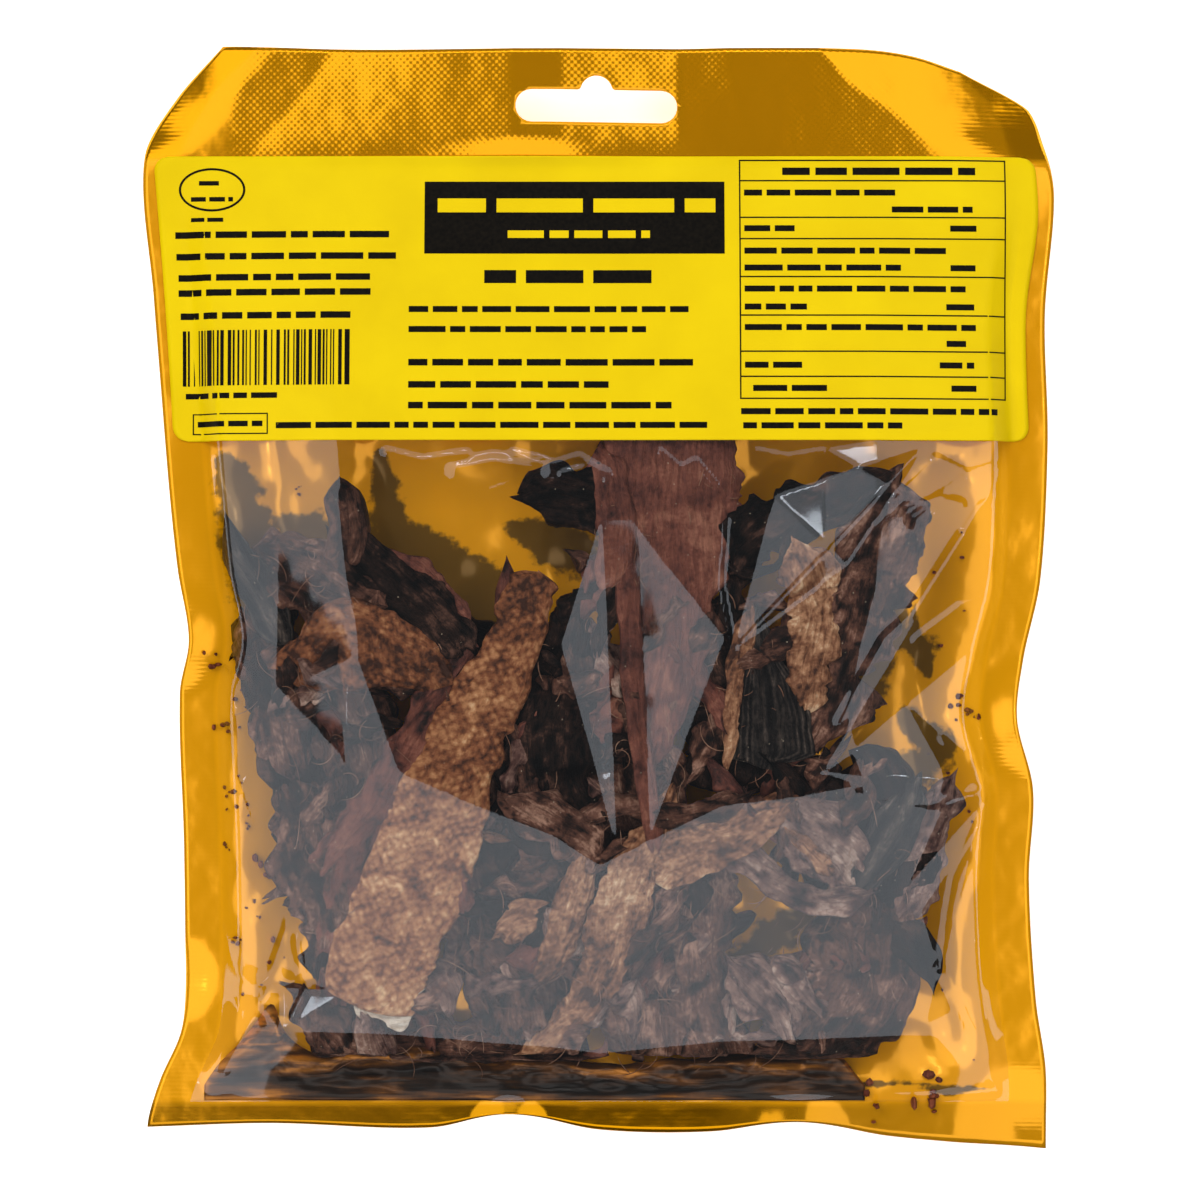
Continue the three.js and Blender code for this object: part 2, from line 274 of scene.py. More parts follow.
CREASES = (
    Crease(((-77.5, 28), (-76.2, -4), (-72.6, -19.5), (-74.6, -28)), 0.42, 1.5),
    Crease(((-70.6, -36), (-62.5, -58), (-62, -65), (-66.6, -78.4)), 0.14, 1.3),
    Crease(((-66.6, -78.4), (-74.5, -94)), 0.35, 1.3),
    Crease(((80, 21), (74.8, 18.2), (60.8, -3.2), (55.8, -7.8), (46.8, -23.8)), 0.35, 1.2),
    Crease(((66, 28), (72.6, 24.8), (78, 26.5)), 0.28, 1.2),
    Crease(((60, 17.5), (66, 20), (72.6, 24.6)), 0.24, 1.0),
    Crease(((62, -8), (71, -1.5), (79.5, 0.5)), 0.24, 1.2),
    Crease(((78.5, -36.8), (76.5, -18), (79.5, -2)), 0.24, 1.2),
    Crease(((78.5, -36.8), (67.5, -27.5)), 0.35, 1.2),
    Crease(((78.5, -36.8), (65, -40.5), (51.5, -38)), 0.35, 1.4),
    Crease(((78.5, -36.8), (70, -55), (67.2, -73)), 0.28, 1.1),
    Crease(((67.2, -73), (76.8, -40)), 0.24, 1.0),
    Crease(((67.2, -73), (79.5, -98.5)), 0.35, 1.2),
    Crease(((-8, -99.6), (25, -99.9), (48, -99.9), (79.5, -98.6)), 0.18, 0.6),
    Crease(((26.4, -10), (24, 3), (25, 16)), 0.21, 0.9),
    Crease(((-42, 29), (-35, 27.2), (-26, 28.6)), 0.28, 1.3),
    Crease(((-17, 28.8), (-9, 26.4), (-4, 28), (2, 24.5)), 0.28, 1.2),
    Crease(((12, 29), (16, 25.6), (19, 27.2), (23, 22.5)), 0.24, 1.1),
    Crease(((31, 29), (37, 27.8), (44, 29)), 0.21, 1.0),
    Crease(((56, 18), (63, 24), (66, 27)), 0.24, 1.1),
    Crease(((-22, 21), (-14, 24), (-5, 22.5)), 0.17, 1.0),
    Crease(((-28, 25.4), (-21, 26.8), (-12, 25.6)), 0.62, 2.9),
    Crease(((-7, 24.6), (-3, 25.6), (0, 23.8)), 0.42, 2.0),
    Crease(((62, 15.5), (67, 19.5), (71, 18.6)), 0.42, 1.9),
    Crease(((-77, -62), (-72, -74), (-66.6, -78.4)), 0.35, 1.2),
    Crease(((-60, -67), (-58, -77), (-61, -83)), 0.24, 1.1),
)

MAIN_FOLDS = (
    Fold((3.5, 16), (6.5, -48), 17, 9, 2.9, flat=3.2, peak=0.38),
    Fold((64, 30), (26, -10), 5, 15, 3.5, peak=0.5),
    Fold((86, 36), (42, -36), 20, 32, 4.6, peak=0.32),
    Fold((-64, 36), (-33, -50), 20, 18, 2.4, peak=0.55),
    Fold((-69, -78), (-58, -52), 8, 7, -1.0, peak=0.2),
    Fold((-69, -78), (-50, -78), 5, 8, -1.3, peak=0.3),
    Fold((-69, -78), (-79, -100), 6, 7, -1.6, peak=0.2),
    Fold((79, -37), (60, -20), 7, 7, -1.6, peak=0.2),
    Fold((79, -37), (40, -33), 6, 8, 1.8, peak=0.3),
    Fold((79, -37), (60, -58), 7, 7, -1.6, peak=0.2),
    Fold((67, -73), (77, -42), 7, 8, -1.6, peak=0.3),
    Fold((67, -73), (80, -100), 7, 7, -1.6, peak=0.3),
)


@dataclass(frozen=True)
class PouchForm:
    """Outline and heights of the pouch, from which its film, foil and label are made.

    Edges are stations of y and x, or of x and y at the top and the foot. A reach is how far in
    from the sides, the foot and the top something is at its full height. A buckle has a place, a
    radius and a rise.
    """

    side_seal: float = 7.5
    window_bottom: float = -100.5
    window_top: float = 86.0
    bottom: float = -106.0
    top: float = 110.0
    edge_wave_depth: float = 12.0
    front_bulge: float = 16.0
    back_reach: tuple[float, float, float] = (16.0, 16.0, 66.0)
    crumple_reach: tuple[float, float, float] = (9.0, 6.0, 20.0)
    crumple_height: float = 1.6
    ripple_height: float = 0.25
    foil: float = 0.25
    film_gap: float = 0.1
    rim_lift: float = 0.8
    left_edge: Stations = (
        (-110, -90.5), (-104, -90.2), (-96, -87.8), (-87, -83.8), (-80, -82.9), (-50, -83),
        (-19, -83.8), (-8, -81.8), (6, -84.2), (30, -86.4), (60, -88.8), (88, -90.5), (100, -84.3),
        (110, -75),
    )  # fmt: skip
    right_edge: Stations = (
        (-110, 89.4), (-94, 89.2), (-80, 87.2), (-56, 85.8), (-38, 86.6), (-24, 83.2), (-12, 84.6),
        (4, 88), (30, 89.3), (56, 88.7), (80, 90.5), (90, 88.9), (99, 85.3), (110, 72),
    )  # fmt: skip
    top_edge: Stations = ((-75, 110), (-40, 109), (50, 109.4), (62, 108.2), (72, 105.4))
    bottom_edge: Stations = (
        (-91, -105.6), (-66, -104.8), (-34, -105.7), (-18, -102.8), (0, -106.1), (22, -106.5),
        (40, -104.4), (58, -107.4), (89, -110),
    )  # fmt: skip
    seal_height: Stations = ((-110, 5), (-90, 5.4), (0, 6.6), (60, 8.2), (88, 9.6), (110, 10.4))
    fill_across: Stations = ((0, 0), (4, 0.5), (27, 0.95), (48, 1))
    ridge: Stations = (
        (-80, -28), (-57, -30), (-40, -33), (-24, -40), (-9, -46), (0, -52), (12, -46), (24, -40),
        (40, -38), (60, -34), (80, -34),
    )  # fmt: skip
    fill_below: Stations = ((0, 0), (0.215, 0.48), (1, 1))
    fill_above: Stations = (
        (0, 1), (0.12, 0.97), (0.3, 0.84), (0.5, 0.64), (0.7, 0.43), (0.88, 0.2), (1, 0),
    )  # fmt: skip
    buckles: tuple[tuple[float, float, float, float], ...] = (
        (-86, -8, 13, 2.6), (88, -24, 14, 2.8), (-86, -76, 10, -2), (-18, -106, 9, 2.6),
        (40, -107, 11, 2), (84, -106, 14, -1.8), (-86, 26, 22, 1.2), (89, 40, 24, 1),
        (-93, 108, 23, -5.2), (92, 108, 34, -6.4),
    )  # fmt: skip
    header_middle: float = 98.0
    header_start: float = 84.0
    header_rise: float = 10.0
    header_waves: Stations = (
        (-90, -1.8), (-75, -0.6), (-61, -0.4), (-17, 2.9), (-8, 2.5), (16, -0.7), (28, 0.4), (56, 0.3),
        (70, -1.2), (90, -3.4),
    )  # fmt: skip
    header_slant: Stations = ((-63, 0.92), (-30, 0), (20, 0), (52, -1.45))

    def left(self, y: Array) -> Array:
        """Left side of the window at y."""
        return through(self.left_edge, y) + self.side_seal

    def right(self, y: Array) -> Array:
        """Right side of the window at y."""
        return through(self.right_edge, y) - self.side_seal

    def seal(self, x: Array, y: Array) -> Array:
        """Height of the plane of the seals: a curve up the pouch, round buckles and header waves.

        The header's waves are straight runs between ridges and furrows that lean with the header,
        each read at the place where its line crosses the header's middle.

        Args:
            x: places across the pouch.
            y: places up the pouch.

        Returns:
            The heights.
        """
        z = through(self.seal_height, y) + 0.0 * x
        for cx, cy, radius, rise in self.buckles:
            z = z + rise * smooth(1.0 - np.hypot(x - cx, y - cy) / radius)
        slanted = x - straight(self.header_slant, x) * (y - self.header_middle)
        return z + smooth((y - self.header_start) / self.header_rise) * straight(self.header_waves, slanted)

    def inset(self, x: Array, y: Array) -> Array:
        """Distance from the nearer side seal, below 0 on the seals."""
        return np.minimum(x - self.left(y), self.right(y) - x)

    def fill(self, x: Array, y: Array) -> Array:
        """Share of the bulge: its share across times the lower of its shares up both ways.

        Args:
            x: places across the pouch.
            y: places up the pouch.

        Returns:
            The share, from 0 at the seals to 1 on the ridge.
        """
        crest = straight(self.ridge, x)
        below = straight(self.fill_below, (y - self.window_bottom) / (crest - self.window_bottom))
        above = straight(self.fill_above, (y - crest) / (self.window_top - crest))
        return straight(self.fill_across, self.inset(x, y)) * np.minimum(below, above)

    def back(self, x: Array, y: Array) -> Array:
        """Underside of the foil: it sinks from the seals' plane to the floor, side by side.

        Args:
            x: places across the pouch.
            y: places up the pouch.

        Returns:
            The heights.
        """
        side, low, high = self.back_reach
        sunk = smooth(self.inset(x, y) / side) * smooth((y - self.window_bottom) / low)
        return self.seal(x, y) * (1.0 - sunk * np.clip((self.window_top - y) / high, 0.0, 1.0))

    def tray(self, x: Array, y: Array) -> Array:
        """Underside of the crumpled foil: it only rises from the back, most in mid-window.

        Args:
            x: places across the pouch.
            y: places up the pouch.

        Returns:
            The heights.
        """
        side, low, high = self.crumple_reach
        where = smooth(self.inset(x, y) / side) * smooth((y - self.window_bottom) / low)
        where = where * smooth((self.window_top - y) / high)
        place = stack(x, y, 0.0 * x)
        folds = np.abs(noise(place, (19.0, 26.0, 9.0), 301, 2))
        ripple = np.maximum(0.0, 1.0 + noise(place, 6.0, 305))
        return self.back(x, y) + where * (self.crumple_height * folds + self.ripple_height * ripple)

    def film(self, x: Array, y: Array) -> Array:
        """Height of the front film: the seals' plane, the bulge over it and the folds of the film.

        Args:
            x: places across the pouch.
            y: places up the pouch.

        Returns:
            The heights.
        """
        bulge = self.fill(x, y)
        rim = smooth(bulge * 5.0)
        folds = sum(fold.lift(x, y) for fold in MAIN_FOLDS)
        rest = self.seal(x, y) + self.foil + self.film_gap + self.rim_lift * smooth(bulge * 2.0)
        rest = rest + self.front_bulge * bulge
        return np.maximum(rest + folds * rim, self.back(x, y) + self.foil + self.film_gap)


FORM = PouchForm()


# ---- Meshes ----


@dataclass
class Shape:
    """Vertices in millimetres, faces of three or four corners, and values for each vertex."""

    points: Array
    faces: list[Array]
    values: dict[str, Array]

    @staticmethod
    def joined(shapes: list[Shape]) -> Shape:
        """Puts several shapes into one, their values with them.

        Args:
            shapes: at least one shape, all with the same named values.

        Returns:
            One shape that holds them all.
        """
        faces, start = [], 0
        for shape in shapes:
            faces += [part + start for part in shape.faces]
            start += len(shape.points)
        names = shapes[0].values
        return Shape(
            np.concatenate([shape.points for shape in shapes]),
            faces,
            {name: np.concatenate([shape.values[name] for shape in shapes]) for name in names},
        )

    def outward(self) -> Shape:
        """Turns a closed shape's faces outward: its signed volume has to be above 0.

        Returns:
            The same shape.
        """
        volume = 0.0
        for part in self.faces:
            a, b, c = (self.points[part[:, k]] for k in range(3))
            volume += np.einsum("ij,ij->", a, np.cross(b, c))
            if part.shape[1] == 4:
                d = self.points[part[:, 3]]
                volume += np.einsum("ij,ij->", a, np.cross(c, d))
        if volume < 0:
            self.faces = [part[:, ::-1] for part in self.faces]
        return self

    def piece(self, name: str, material: bpy.types.Material) -> bpy.types.Object:
        """Makes the shape a smooth-shaded object at the origin.

        Args:
            name: the piece's name.
            material: its one material.

        Returns:
            The new object, in the scene's collection.
        """
        mesh = bpy.data.meshes.new(name)
        corners = [row for part in self.faces for row in part.tolist()]
        mesh.from_pydata((self.points * MM).tolist(), [], corners)
        mesh.polygons.foreach_set("use_smooth", np.ones(len(mesh.polygons), dtype=bool))
        for key, values in self.values.items():
            attribute = mesh.attributes.new(key, "FLOAT", "POINT")
            attribute.data.foreach_set("value", values.astype(np.float32))
        mesh.materials.append(material)
        mesh.update()
        piece = bpy.data.objects.new(name, mesh)
        bpy.context.scene.collection.objects.link(piece)
        log.info("%s: %d vertices, %d faces", name, len(mesh.vertices), len(mesh.polygons))
        return piece


def grid_faces(rows: int, columns: int, wrap: bool = False) -> Array:
    """Four-cornered faces between the neighbours of a grid of points numbered row by row.

    Args:
        rows: points along the first axis.
        columns: points along the second axis.
        wrap: whether the last column meets the first.

    Returns:
        Corner numbers, one row for each face.
    """
    j, i = np.meshgrid(np.arange(rows - 1), np.arange(columns if wrap else columns - 1), indexing="ij")
    right = (i + 1) % columns
    quads = stack(j * columns + i, j * columns + right, (j + 1) * columns + right, (j + 1) * columns + i)
    return quads.reshape(-1, 4).astype(np.int64)


def closed_sheet(x: Array, y: Array, lower: Array, upper: Array, values: dict[str, Array]) -> Shape:
    """A thin closed sheet between two heights over one grid, with a wall round its edge.

    Args:
        x: places across, on a grid.
        y: places up, on the same grid.
        lower: heights of its underside.
        upper: heights of its upper side.
        values: named values for each grid point, which both sides get.

    Returns:
        The closed shape.
    """
    rows, columns = x.shape
    top = stack(x, y, upper).reshape(-1, 3)
    under = stack(x, y, lower).reshape(-1, 3)
    count = len(top)
    number = np.arange(count).reshape(rows, columns)
    ring = np.concatenate([number[0, :-1], number[:-1, -1], number[-1, :0:-1], number[:0:-1, 0]])
    following = np.roll(ring, -1)
    wall = np.stack([ring, ring + count, following + count, following], axis=-1)
    quads = grid_faces(rows, columns)
    faces = [quads, quads[:, ::-1] + count, wall]
    both = {key: np.tile(grid.reshape(-1), 2) for key, grid in values.items()}
    return Shape(np.concatenate([top, under]), faces, both).outward()


def closed_tube(rings: Array, values: dict[str, Array]) -> Shape:
    """A closed skin over rings of points, each end drawn together in one pole.

    Args:
        rings: points, the first axis along the piece and the second round it.
        values: named values on the same grid.

    Returns:
        The closed shape.
    """
    rows, columns = rings.shape[:2]
    points = np.concatenate([rings.reshape(-1, 3), rings[[0, -1]].mean(axis=1)])
    first, last = rows * columns, rows * columns + 1
    i = np.arange(columns)
    after = (i + 1) % columns
    start = np.stack([np.full(columns, first), after, i], axis=-1)
    base = (rows - 1) * columns
    end = np.stack([np.full(columns, last), base + i, base + after], axis=-1)
    poled = {
        key: np.concatenate([grid.reshape(-1), grid[[0, -1]].mean(axis=1)])
        for key, grid in values.items()
    }
    return Shape(points, [grid_faces(rows, columns, wrap=True), start, end], poled).outward()


# ---- Finishes ----


def add(
    tree: bpy.types.NodeTree,
    kind: str,
    inputs: dict[str | int, object] | None = None,
    stops: tuple[tuple[float, str], ...] = (),
    **settings: object,
) -> bpy.types.Node:
    """Adds a shader node, sets its properties, and fills or links its sockets.

    Args:
        tree: the node tree.
        kind: the node's type, without the ShaderNode that each one starts with.
        inputs: socket name or number to a value, to the output socket to link, or to the node
            whose first output to link.
        stops: places and hex colours of a colour ramp.
        **settings: the node's own properties.

    Returns:
        The new node.
    """
    node = tree.nodes.new(f"ShaderNode{kind}")
    for key, value in settings.items():
        setattr(node, key, value)
    if stops:
        elements = node.color_ramp.elements
        while len(elements) < len(stops):
            elements.new(0.5)
        for element, (place, code) in zip(elements, stops, strict=True):
            element.position = place
            element.color = linear(code)
    for key, value in (inputs or {}).items():
        source = value.outputs[0] if isinstance(value, bpy.types.Node) else value
        if isinstance(source, bpy.types.NodeSocket):
            tree.links.new(source, node.inputs[key])
        else:
            node.inputs[key].default_value = source
    return node


def scale_for(width: float) -> float:
    """Scale that makes a pattern's widest features some millimetres wide: 1 over it in metres."""
    return 1.0 / (width * MM)


@dataclass(frozen=True)
class Finish:
    """A procedural material, named for what the real surface is made of.

    Widths, pitches and depths are millimetres. A Mix node takes its two colours in its sockets 6
    and 7, and gives their mixture by its output 2.
    """

    name: str

    def build(self) -> bpy.types.Material:
        """Makes the material: one Principled shader, fed by the finish's own nodes.

        Returns:
            The new material.
        """
        material = bpy.data.materials.new(self.name)
        material.use_nodes = True
        tree = material.node_tree
        tree.nodes.clear()
        add(tree, "OutputMaterial", {"Surface": add(tree, "BsdfPrincipled", self.surface(tree))})
        return material

    def surface(self, tree: bpy.types.NodeTree) -> dict[str | int, object]:
        """Adds the finish's nodes. Each finish has its own.

        Args:
            tree: the material's node tree.

        Returns:
            What goes into the shader, by the names of its sockets.
        """
        raise NotImplementedError


@dataclass(frozen=True)
class GoldFoil(Finish):
    """Gold metallised polyester: orange lacquer over vapour-coated aluminium.

    It mirrors the room with a warm tint, most where the hot sealing bars have pressed it flat,
    and they have left dots in the header and ribs across the side seals. The fish's reflection is
    painted into its colour as dark brown patches with frayed edges, and the foot of the seal is
    painted darker as a reflection of the dark room.
    """

    colour: str = "#FFAE04"
    painted_reflection: str = "#5A4312"
    roughness: float = 0.14
    dot_pitch: float = 1.36
    rib_pitch: float = 0.85
    rib_share: float = 0.3
    pressed_depth: float = 0.010
    wave_width: float = 11.0
    wave_depth: float = 0.3
    fray_width: float = 4.5
    fray_reach: float = 1.1
    patch_edge: tuple[float, float] = (0.45, 0.66)
    patch_strength: float = 0.9

    def surface(self, tree: bpy.types.NodeTree) -> dict[str | int, object]:
        """Sets the metal and its painted dark reflections, and bumps from dots, ribs and unevenness.

        The dots are the product of a sine across and a sine up, and the ribs are a sine up.

        Args:
            tree: the material's node tree.

        Returns:
            What goes into the shader.
        """
        place = add(tree, "TexCoord").outputs["Object"]
        split = add(tree, "SeparateXYZ", {0: place})
        dots, ribs, shade, dim, mirror = (
            add(tree, "Attribute", attribute_name=name).outputs["Fac"]
            for name in ("dots", "ribs", "shade", "dim", "mirror")
        )
        waves = []
        for axis, pitch in (("X", self.dot_pitch), ("Y", self.dot_pitch), ("Y", self.rib_pitch)):
            turns = add(tree, "Math", {0: split.outputs[axis], 1: TAU / (pitch * MM)}, operation="MULTIPLY")
            waves.append(add(tree, "Math", {0: turns}, operation="SINE"))
        dotted = add(tree, "Math", {0: waves[0], 1: waves[1]}, operation="MULTIPLY")
        dotted = add(tree, "Math", {0: dotted, 1: dots}, operation="MULTIPLY")
        ribbed = add(tree, "Math", {0: waves[2], 1: ribs}, operation="MULTIPLY")
        pressed = add(tree, "Math", {0: ribbed, 1: self.rib_share, 2: dotted}, operation="MULTIPLY_ADD")
        wavy = add(tree, "TexNoise", {"Vector": place, "Scale": scale_for(self.wave_width), "Detail": 2.5})
        normal = add(tree, "Bump", {"Height": pressed, "Distance": self.pressed_depth * MM, "Strength": 1.0})
        waved = {"Height": wavy, "Distance": self.wave_depth * MM, "Strength": 1.0, "Normal": normal}

        # Painted reflection: the colour darkens in frayed patches where shade is high, and where dim is
        # high.
        frayed = {"Vector": place, "Scale": scale_for(self.fray_width), "Detail": 5.0, "Roughness": 0.62}
        centred = add(tree, "Math", {0: add(tree, "TexNoise", frayed), 1: 0.5}, operation="SUBTRACT")
        torn = add(tree, "Math", {0: centred, 1: self.fray_reach, 2: shade}, operation="MULTIPLY_ADD")
        low, high = self.patch_edge
        edge = {"Value": torn, "From Min": low, "From Max": high, "To Max": self.patch_strength}
        patch = add(tree, "MapRange", edge, interpolation_type="SMOOTHSTEP")
        share = add(tree, "Math", {0: patch, 1: dim}, operation="MAXIMUM")
        tones = {0: share, 6: linear(self.colour), 7: linear(self.painted_reflection)}
        return {
            "Base Color": add(tree, "Mix", tones, data_type="RGBA").outputs[2],
            "Roughness": self.roughness,
            "Metallic": mirror,
            "Normal": add(tree, "Bump", waved),
        }


@dataclass(frozen=True)
class ShadedFoil(Finish):
    """Gold foil gathered in fine folds, in painted shade: brown, with a few painted orange glints."""

    stops: tuple[tuple[float, str], ...] = (
        (0.40, "#120A04"), (0.51, "#2A1808"), (0.62, "#5E3814"), (0.74, "#B87424"),
    )  # fmt: skip
    drawn_out: tuple[float, float, float] = (0.11, 1.0, 0.4)
    streak_width: float = 1.7
    streak_depth: float = 0.25
    cloud_width: float = 9.0
    speck_width: float = 0.7

    def surface(self, tree: bpy.types.NodeTree) -> dict[str | int, object]:
        """Paints shade and glints: long fine streaks, near black to orange, painted paler on the crest.

        Args:
            tree: the material's node tree.

        Returns:
            What goes into the shader.
        """
        place = add(tree, "TexCoord").outputs["Object"]
        drawn = add(tree, "Mapping", {"Vector": place, "Scale": self.drawn_out})
        streaked = {"Vector": drawn, "Scale": scale_for(self.streak_width), "Detail": 2.5, "Distortion": 0.3}
        streaks = add(tree, "TexNoise", streaked)
        broad = add(tree, "TexNoise", {"Vector": place, "Scale": scale_for(self.cloud_width), "Detail": 3.0})
        speckled = {"Vector": place, "Scale": scale_for(self.speck_width), "Detail": 3.0, "Roughness": 0.7}
        specks = add(tree, "TexNoise", speckled)
        # The crest's painted highlight and the painted sheen, carried in the fold's relief values.
        crest = add(tree, "Attribute", attribute_name="relief").outputs["Fac"]
        tone = add(tree, "Math", {0: crest, 1: 0.12, 2: -0.01}, operation="MULTIPLY_ADD")
        for value, share in ((streaks, 0.65), (broad, 0.28), (specks, 0.07)):
            tone = add(tree, "Math", {0: value, 1: share, 2: tone}, operation="MULTIPLY_ADD")
        ridges = {"Height": streaks, "Distance": self.streak_depth * MM, "Strength": 1.0}
        return {
            "Base Color": add(tree, "ValToRGB", {"Fac": tone}, stops=self.stops),
            "Normal": add(tree, "Bump", ridges),
            "Metallic": 0.4,
            "Roughness": 0.3,
        }


@dataclass(frozen=True)
class ClearFilm(Finish):
    """Cast polypropylene film, 0.06 mm thick.

    It is clear, and its two faces together send back about a tenth of the light, as a pale veil
    wherever a facet of the film is turned to a lamp.
    """

    tint: str = "#E6EEF8"
    reflected: float = 0.085
    roughness: float = 0.05

    def surface(self, tree: bpy.types.NodeTree) -> dict[str | int, object]:
        """Sets a mirror that covers only the share that the film sends back.

        Args:
            tree: the material's node tree.

        Returns:
            What goes into the shader.
        """
        return {
            "Base Color": linear(self.tint),
            "Metallic": 1.0,
            "Roughness": self.roughness,
            "Alpha": self.reflected,
        }


@dataclass(frozen=True)
class DriedTissue(Finish):
    """Salted, sun-dried fish: flesh in dark leathery fibres, or skin with its scale pockets.

    Tones mix by a broad noise, streaks run along the fibres, the piece's own values paint shade
    into its hollows and light onto its ridges, scale pockets show as pale cells with dark seams,
    and salt has left a few bright grains.
    """

    dark: str = "#0E0908"
    body: str = "#2E1B16"
    pale: str = "#62453A"
    tip: str = "#8C6C5A"
    # relief weighs the piece's own tone, which carries painted shade in its creases.
    relief: float = 0.30
    streak: float = 0.55
    blotch: float = 0.55
    cells: float = 0.0
    grains: float = 1.0
    roughness: float = 0.55
    gloss: float = 0.15
    salt: str = "#B8A890"
    fibre_width: float = 1.1
    fibre_draw: tuple[float, float, float] = (0.22, 1.0, 1.0)
    blotch_width: float = 6.0
    grit_width: float = 0.9
    pocket_pitch: float = 1.9
    salt_pitch: float = 2.3
    bump_strength: float = 0.8
    bump_depths: tuple[float, float, float] = (0.5, 0.5, 0.35)

    def surface(self, tree: bpy.types.NodeTree) -> dict[str | int, object]:
        """Adds up the tone, colours it, and builds the bump from fibres, cells and fine grit.

        The tone is 0.5, plus the piece's own value, which holds painted shade in its hollows, and
        each noise less its mean, times its share.

        Args:
            tree: the material's node tree.

        Returns:
            What goes into the shader.
        """
        place = add(tree, "TexCoord").outputs["Object"]
        along, across, ridge = (
            add(tree, "Attribute", attribute_name=name).outputs["Fac"]
            for name in ("along", "across", "relief")
        )
        own = add(tree, "CombineXYZ", {0: along, 1: across})
        drawn = add(tree, "Mapping", {"Vector": own, "Scale": self.fibre_draw})
        fibrous = {"Vector": drawn, "Scale": 1.0 / self.fibre_width, "Detail": 5.0}
        fibres = add(tree, "TexNoise", fibrous | {"Roughness": 0.66, "Distortion": 1.1})
        blotched = {"Vector": place, "Scale": scale_for(self.blotch_width), "Detail": 4.0}
        blotches = add(tree, "TexNoise", blotched | {"Roughness": 0.6, "Distortion": 0.6})
        gritty = {"Vector": place, "Scale": scale_for(self.grit_width), "Detail": 4.0, "Roughness": 0.7}
        grit = add(tree, "TexNoise", gritty)

        # ridge is the piece's own tone: painted shade in its creases, lighter on its ridges.
        tone = add(tree, "Math", {0: ridge, 1: self.relief, 2: 0.5}, operation="MULTIPLY_ADD")
        for value, share in ((fibres, self.streak), (blotches, self.blotch), (grit, 0.35)):
            centred = add(tree, "Math", {0: value, 1: 0.5}, operation="SUBTRACT")
            tone = add(tree, "Math", {0: centred, 1: 1.6 * share, 2: tone}, operation="MULTIPLY_ADD")
        pocket = fibres
        if self.cells:
            packed = {"Vector": own, "Scale": 1.0 / self.pocket_pitch, "Randomness": 0.75, "Smoothness": 0.2}
            middles = add(tree, "TexVoronoi", packed, feature="SMOOTH_F1")
            walls = {"Value": middles, "From Min": 0.8, "From Max": 0.3}
            pocket = add(tree, "MapRange", walls, interpolation_type="SMOOTHSTEP")
            spread = add(tree, "Math", {0: pocket, 1: 0.7}, operation="SUBTRACT")
            tone = add(tree, "Math", {0: spread, 1: self.cells, 2: tone}, operation="MULTIPLY_ADD")
        stops = ((0.12, self.dark), (0.42, self.body), (0.72, self.pale), (1.0, self.tip))
        colour = add(tree, "ValToRGB", {"Fac": tone}, stops=stops)
        sown = add(tree, "TexVoronoi", {"Vector": place, "Scale": scale_for(self.salt_pitch)})
        grain = add(tree, "Math", {0: sown, 1: 0.055}, operation="LESS_THAN")
        grain = add(tree, "Math", {0: grain, 1: 0.6 * self.grains}, operation="MULTIPLY")
        salted = add(tree, "Mix", {0: grain, 6: colour, 7: linear(self.salt)}, data_type="RGBA")

        normal: dict[str, bpy.types.Node] = {}
        for height, depth in zip((pocket, fibres, grit), self.bump_depths, strict=True):
            bump = {"Height": height, "Distance": depth * MM, "Strength": self.bump_strength}
            normal = {"Normal": add(tree, "Bump", bump | normal)}
        gloss = {"Roughness": self.roughness, "Specular IOR Level": self.gloss}
        return {"Base Color": salted.outputs[2]} | normal | gloss


@dataclass(frozen=True)
class LabelPaper(Finish):
    """Coated label paper, flood-printed yellow: slightly glossy, with the film's dents under it."""

    colour: str = "#E6C705"
    thin_print: str = "#DDBD04"
    cloud_width: float = 50.0 / 3.0
    fibre_width: float = 2.0 / 3.0
    fibre_depth: float = 0.02

    def surface(self, tree: bpy.types.NodeTree) -> dict[str | int, object]:
        """Sets the yellow with a faint unevenness of the print and of the paper's surface.

        Args:
            tree: the material's node tree.

        Returns:
            What goes into the shader.
        """
        place = add(tree, "TexCoord").outputs["Object"]
        cloud = add(tree, "TexNoise", {"Vector": place, "Scale": scale_for(self.cloud_width), "Detail": 3.0})
        paper = add(tree, "TexNoise", {"Vector": place, "Scale": scale_for(self.fibre_width), "Detail": 2.0})
        fibres = {"Height": paper, "Distance": self.fibre_depth * MM, "Strength": 0.5}
        stops = ((0.3, self.thin_print), (0.7, self.colour))
        return {
            "Base Color": add(tree, "ValToRGB", {"Fac": cloud}, stops=stops),
            "Normal": add(tree, "Bump", fibres),
            "Roughness": 0.45,
            "Specular IOR Level": 0.06,
        }


@dataclass(frozen=True)
class PrintingInk(Finish):
    """Printing ink on coated paper: a thin, even layer with a low gloss."""

    colour: str = "#0B0907"
    thin_ink: str = "#17130D"
    cloud_width: float = 0.8

    def surface(self, tree: bpy.types.NodeTree) -> dict[str | int, object]:
        """Sets the ink, a little thinner in places where the paper took less.

        Args:
            tree: the material's node tree.

        Returns:
            What goes into the shader.
        """
        place = add(tree, "TexCoord").outputs["Object"]
        taken = add(tree, "TexNoise", {"Vector": place, "Scale": scale_for(self.cloud_width), "Detail": 3.0})
        tone = add(tree, "ValToRGB", {"Fac": taken}, stops=((0.35, self.colour), (0.75, self.thin_ink)))
        return {"Base Color": tone, "Roughness": 0.45, "Specular IOR Level": 0.06}


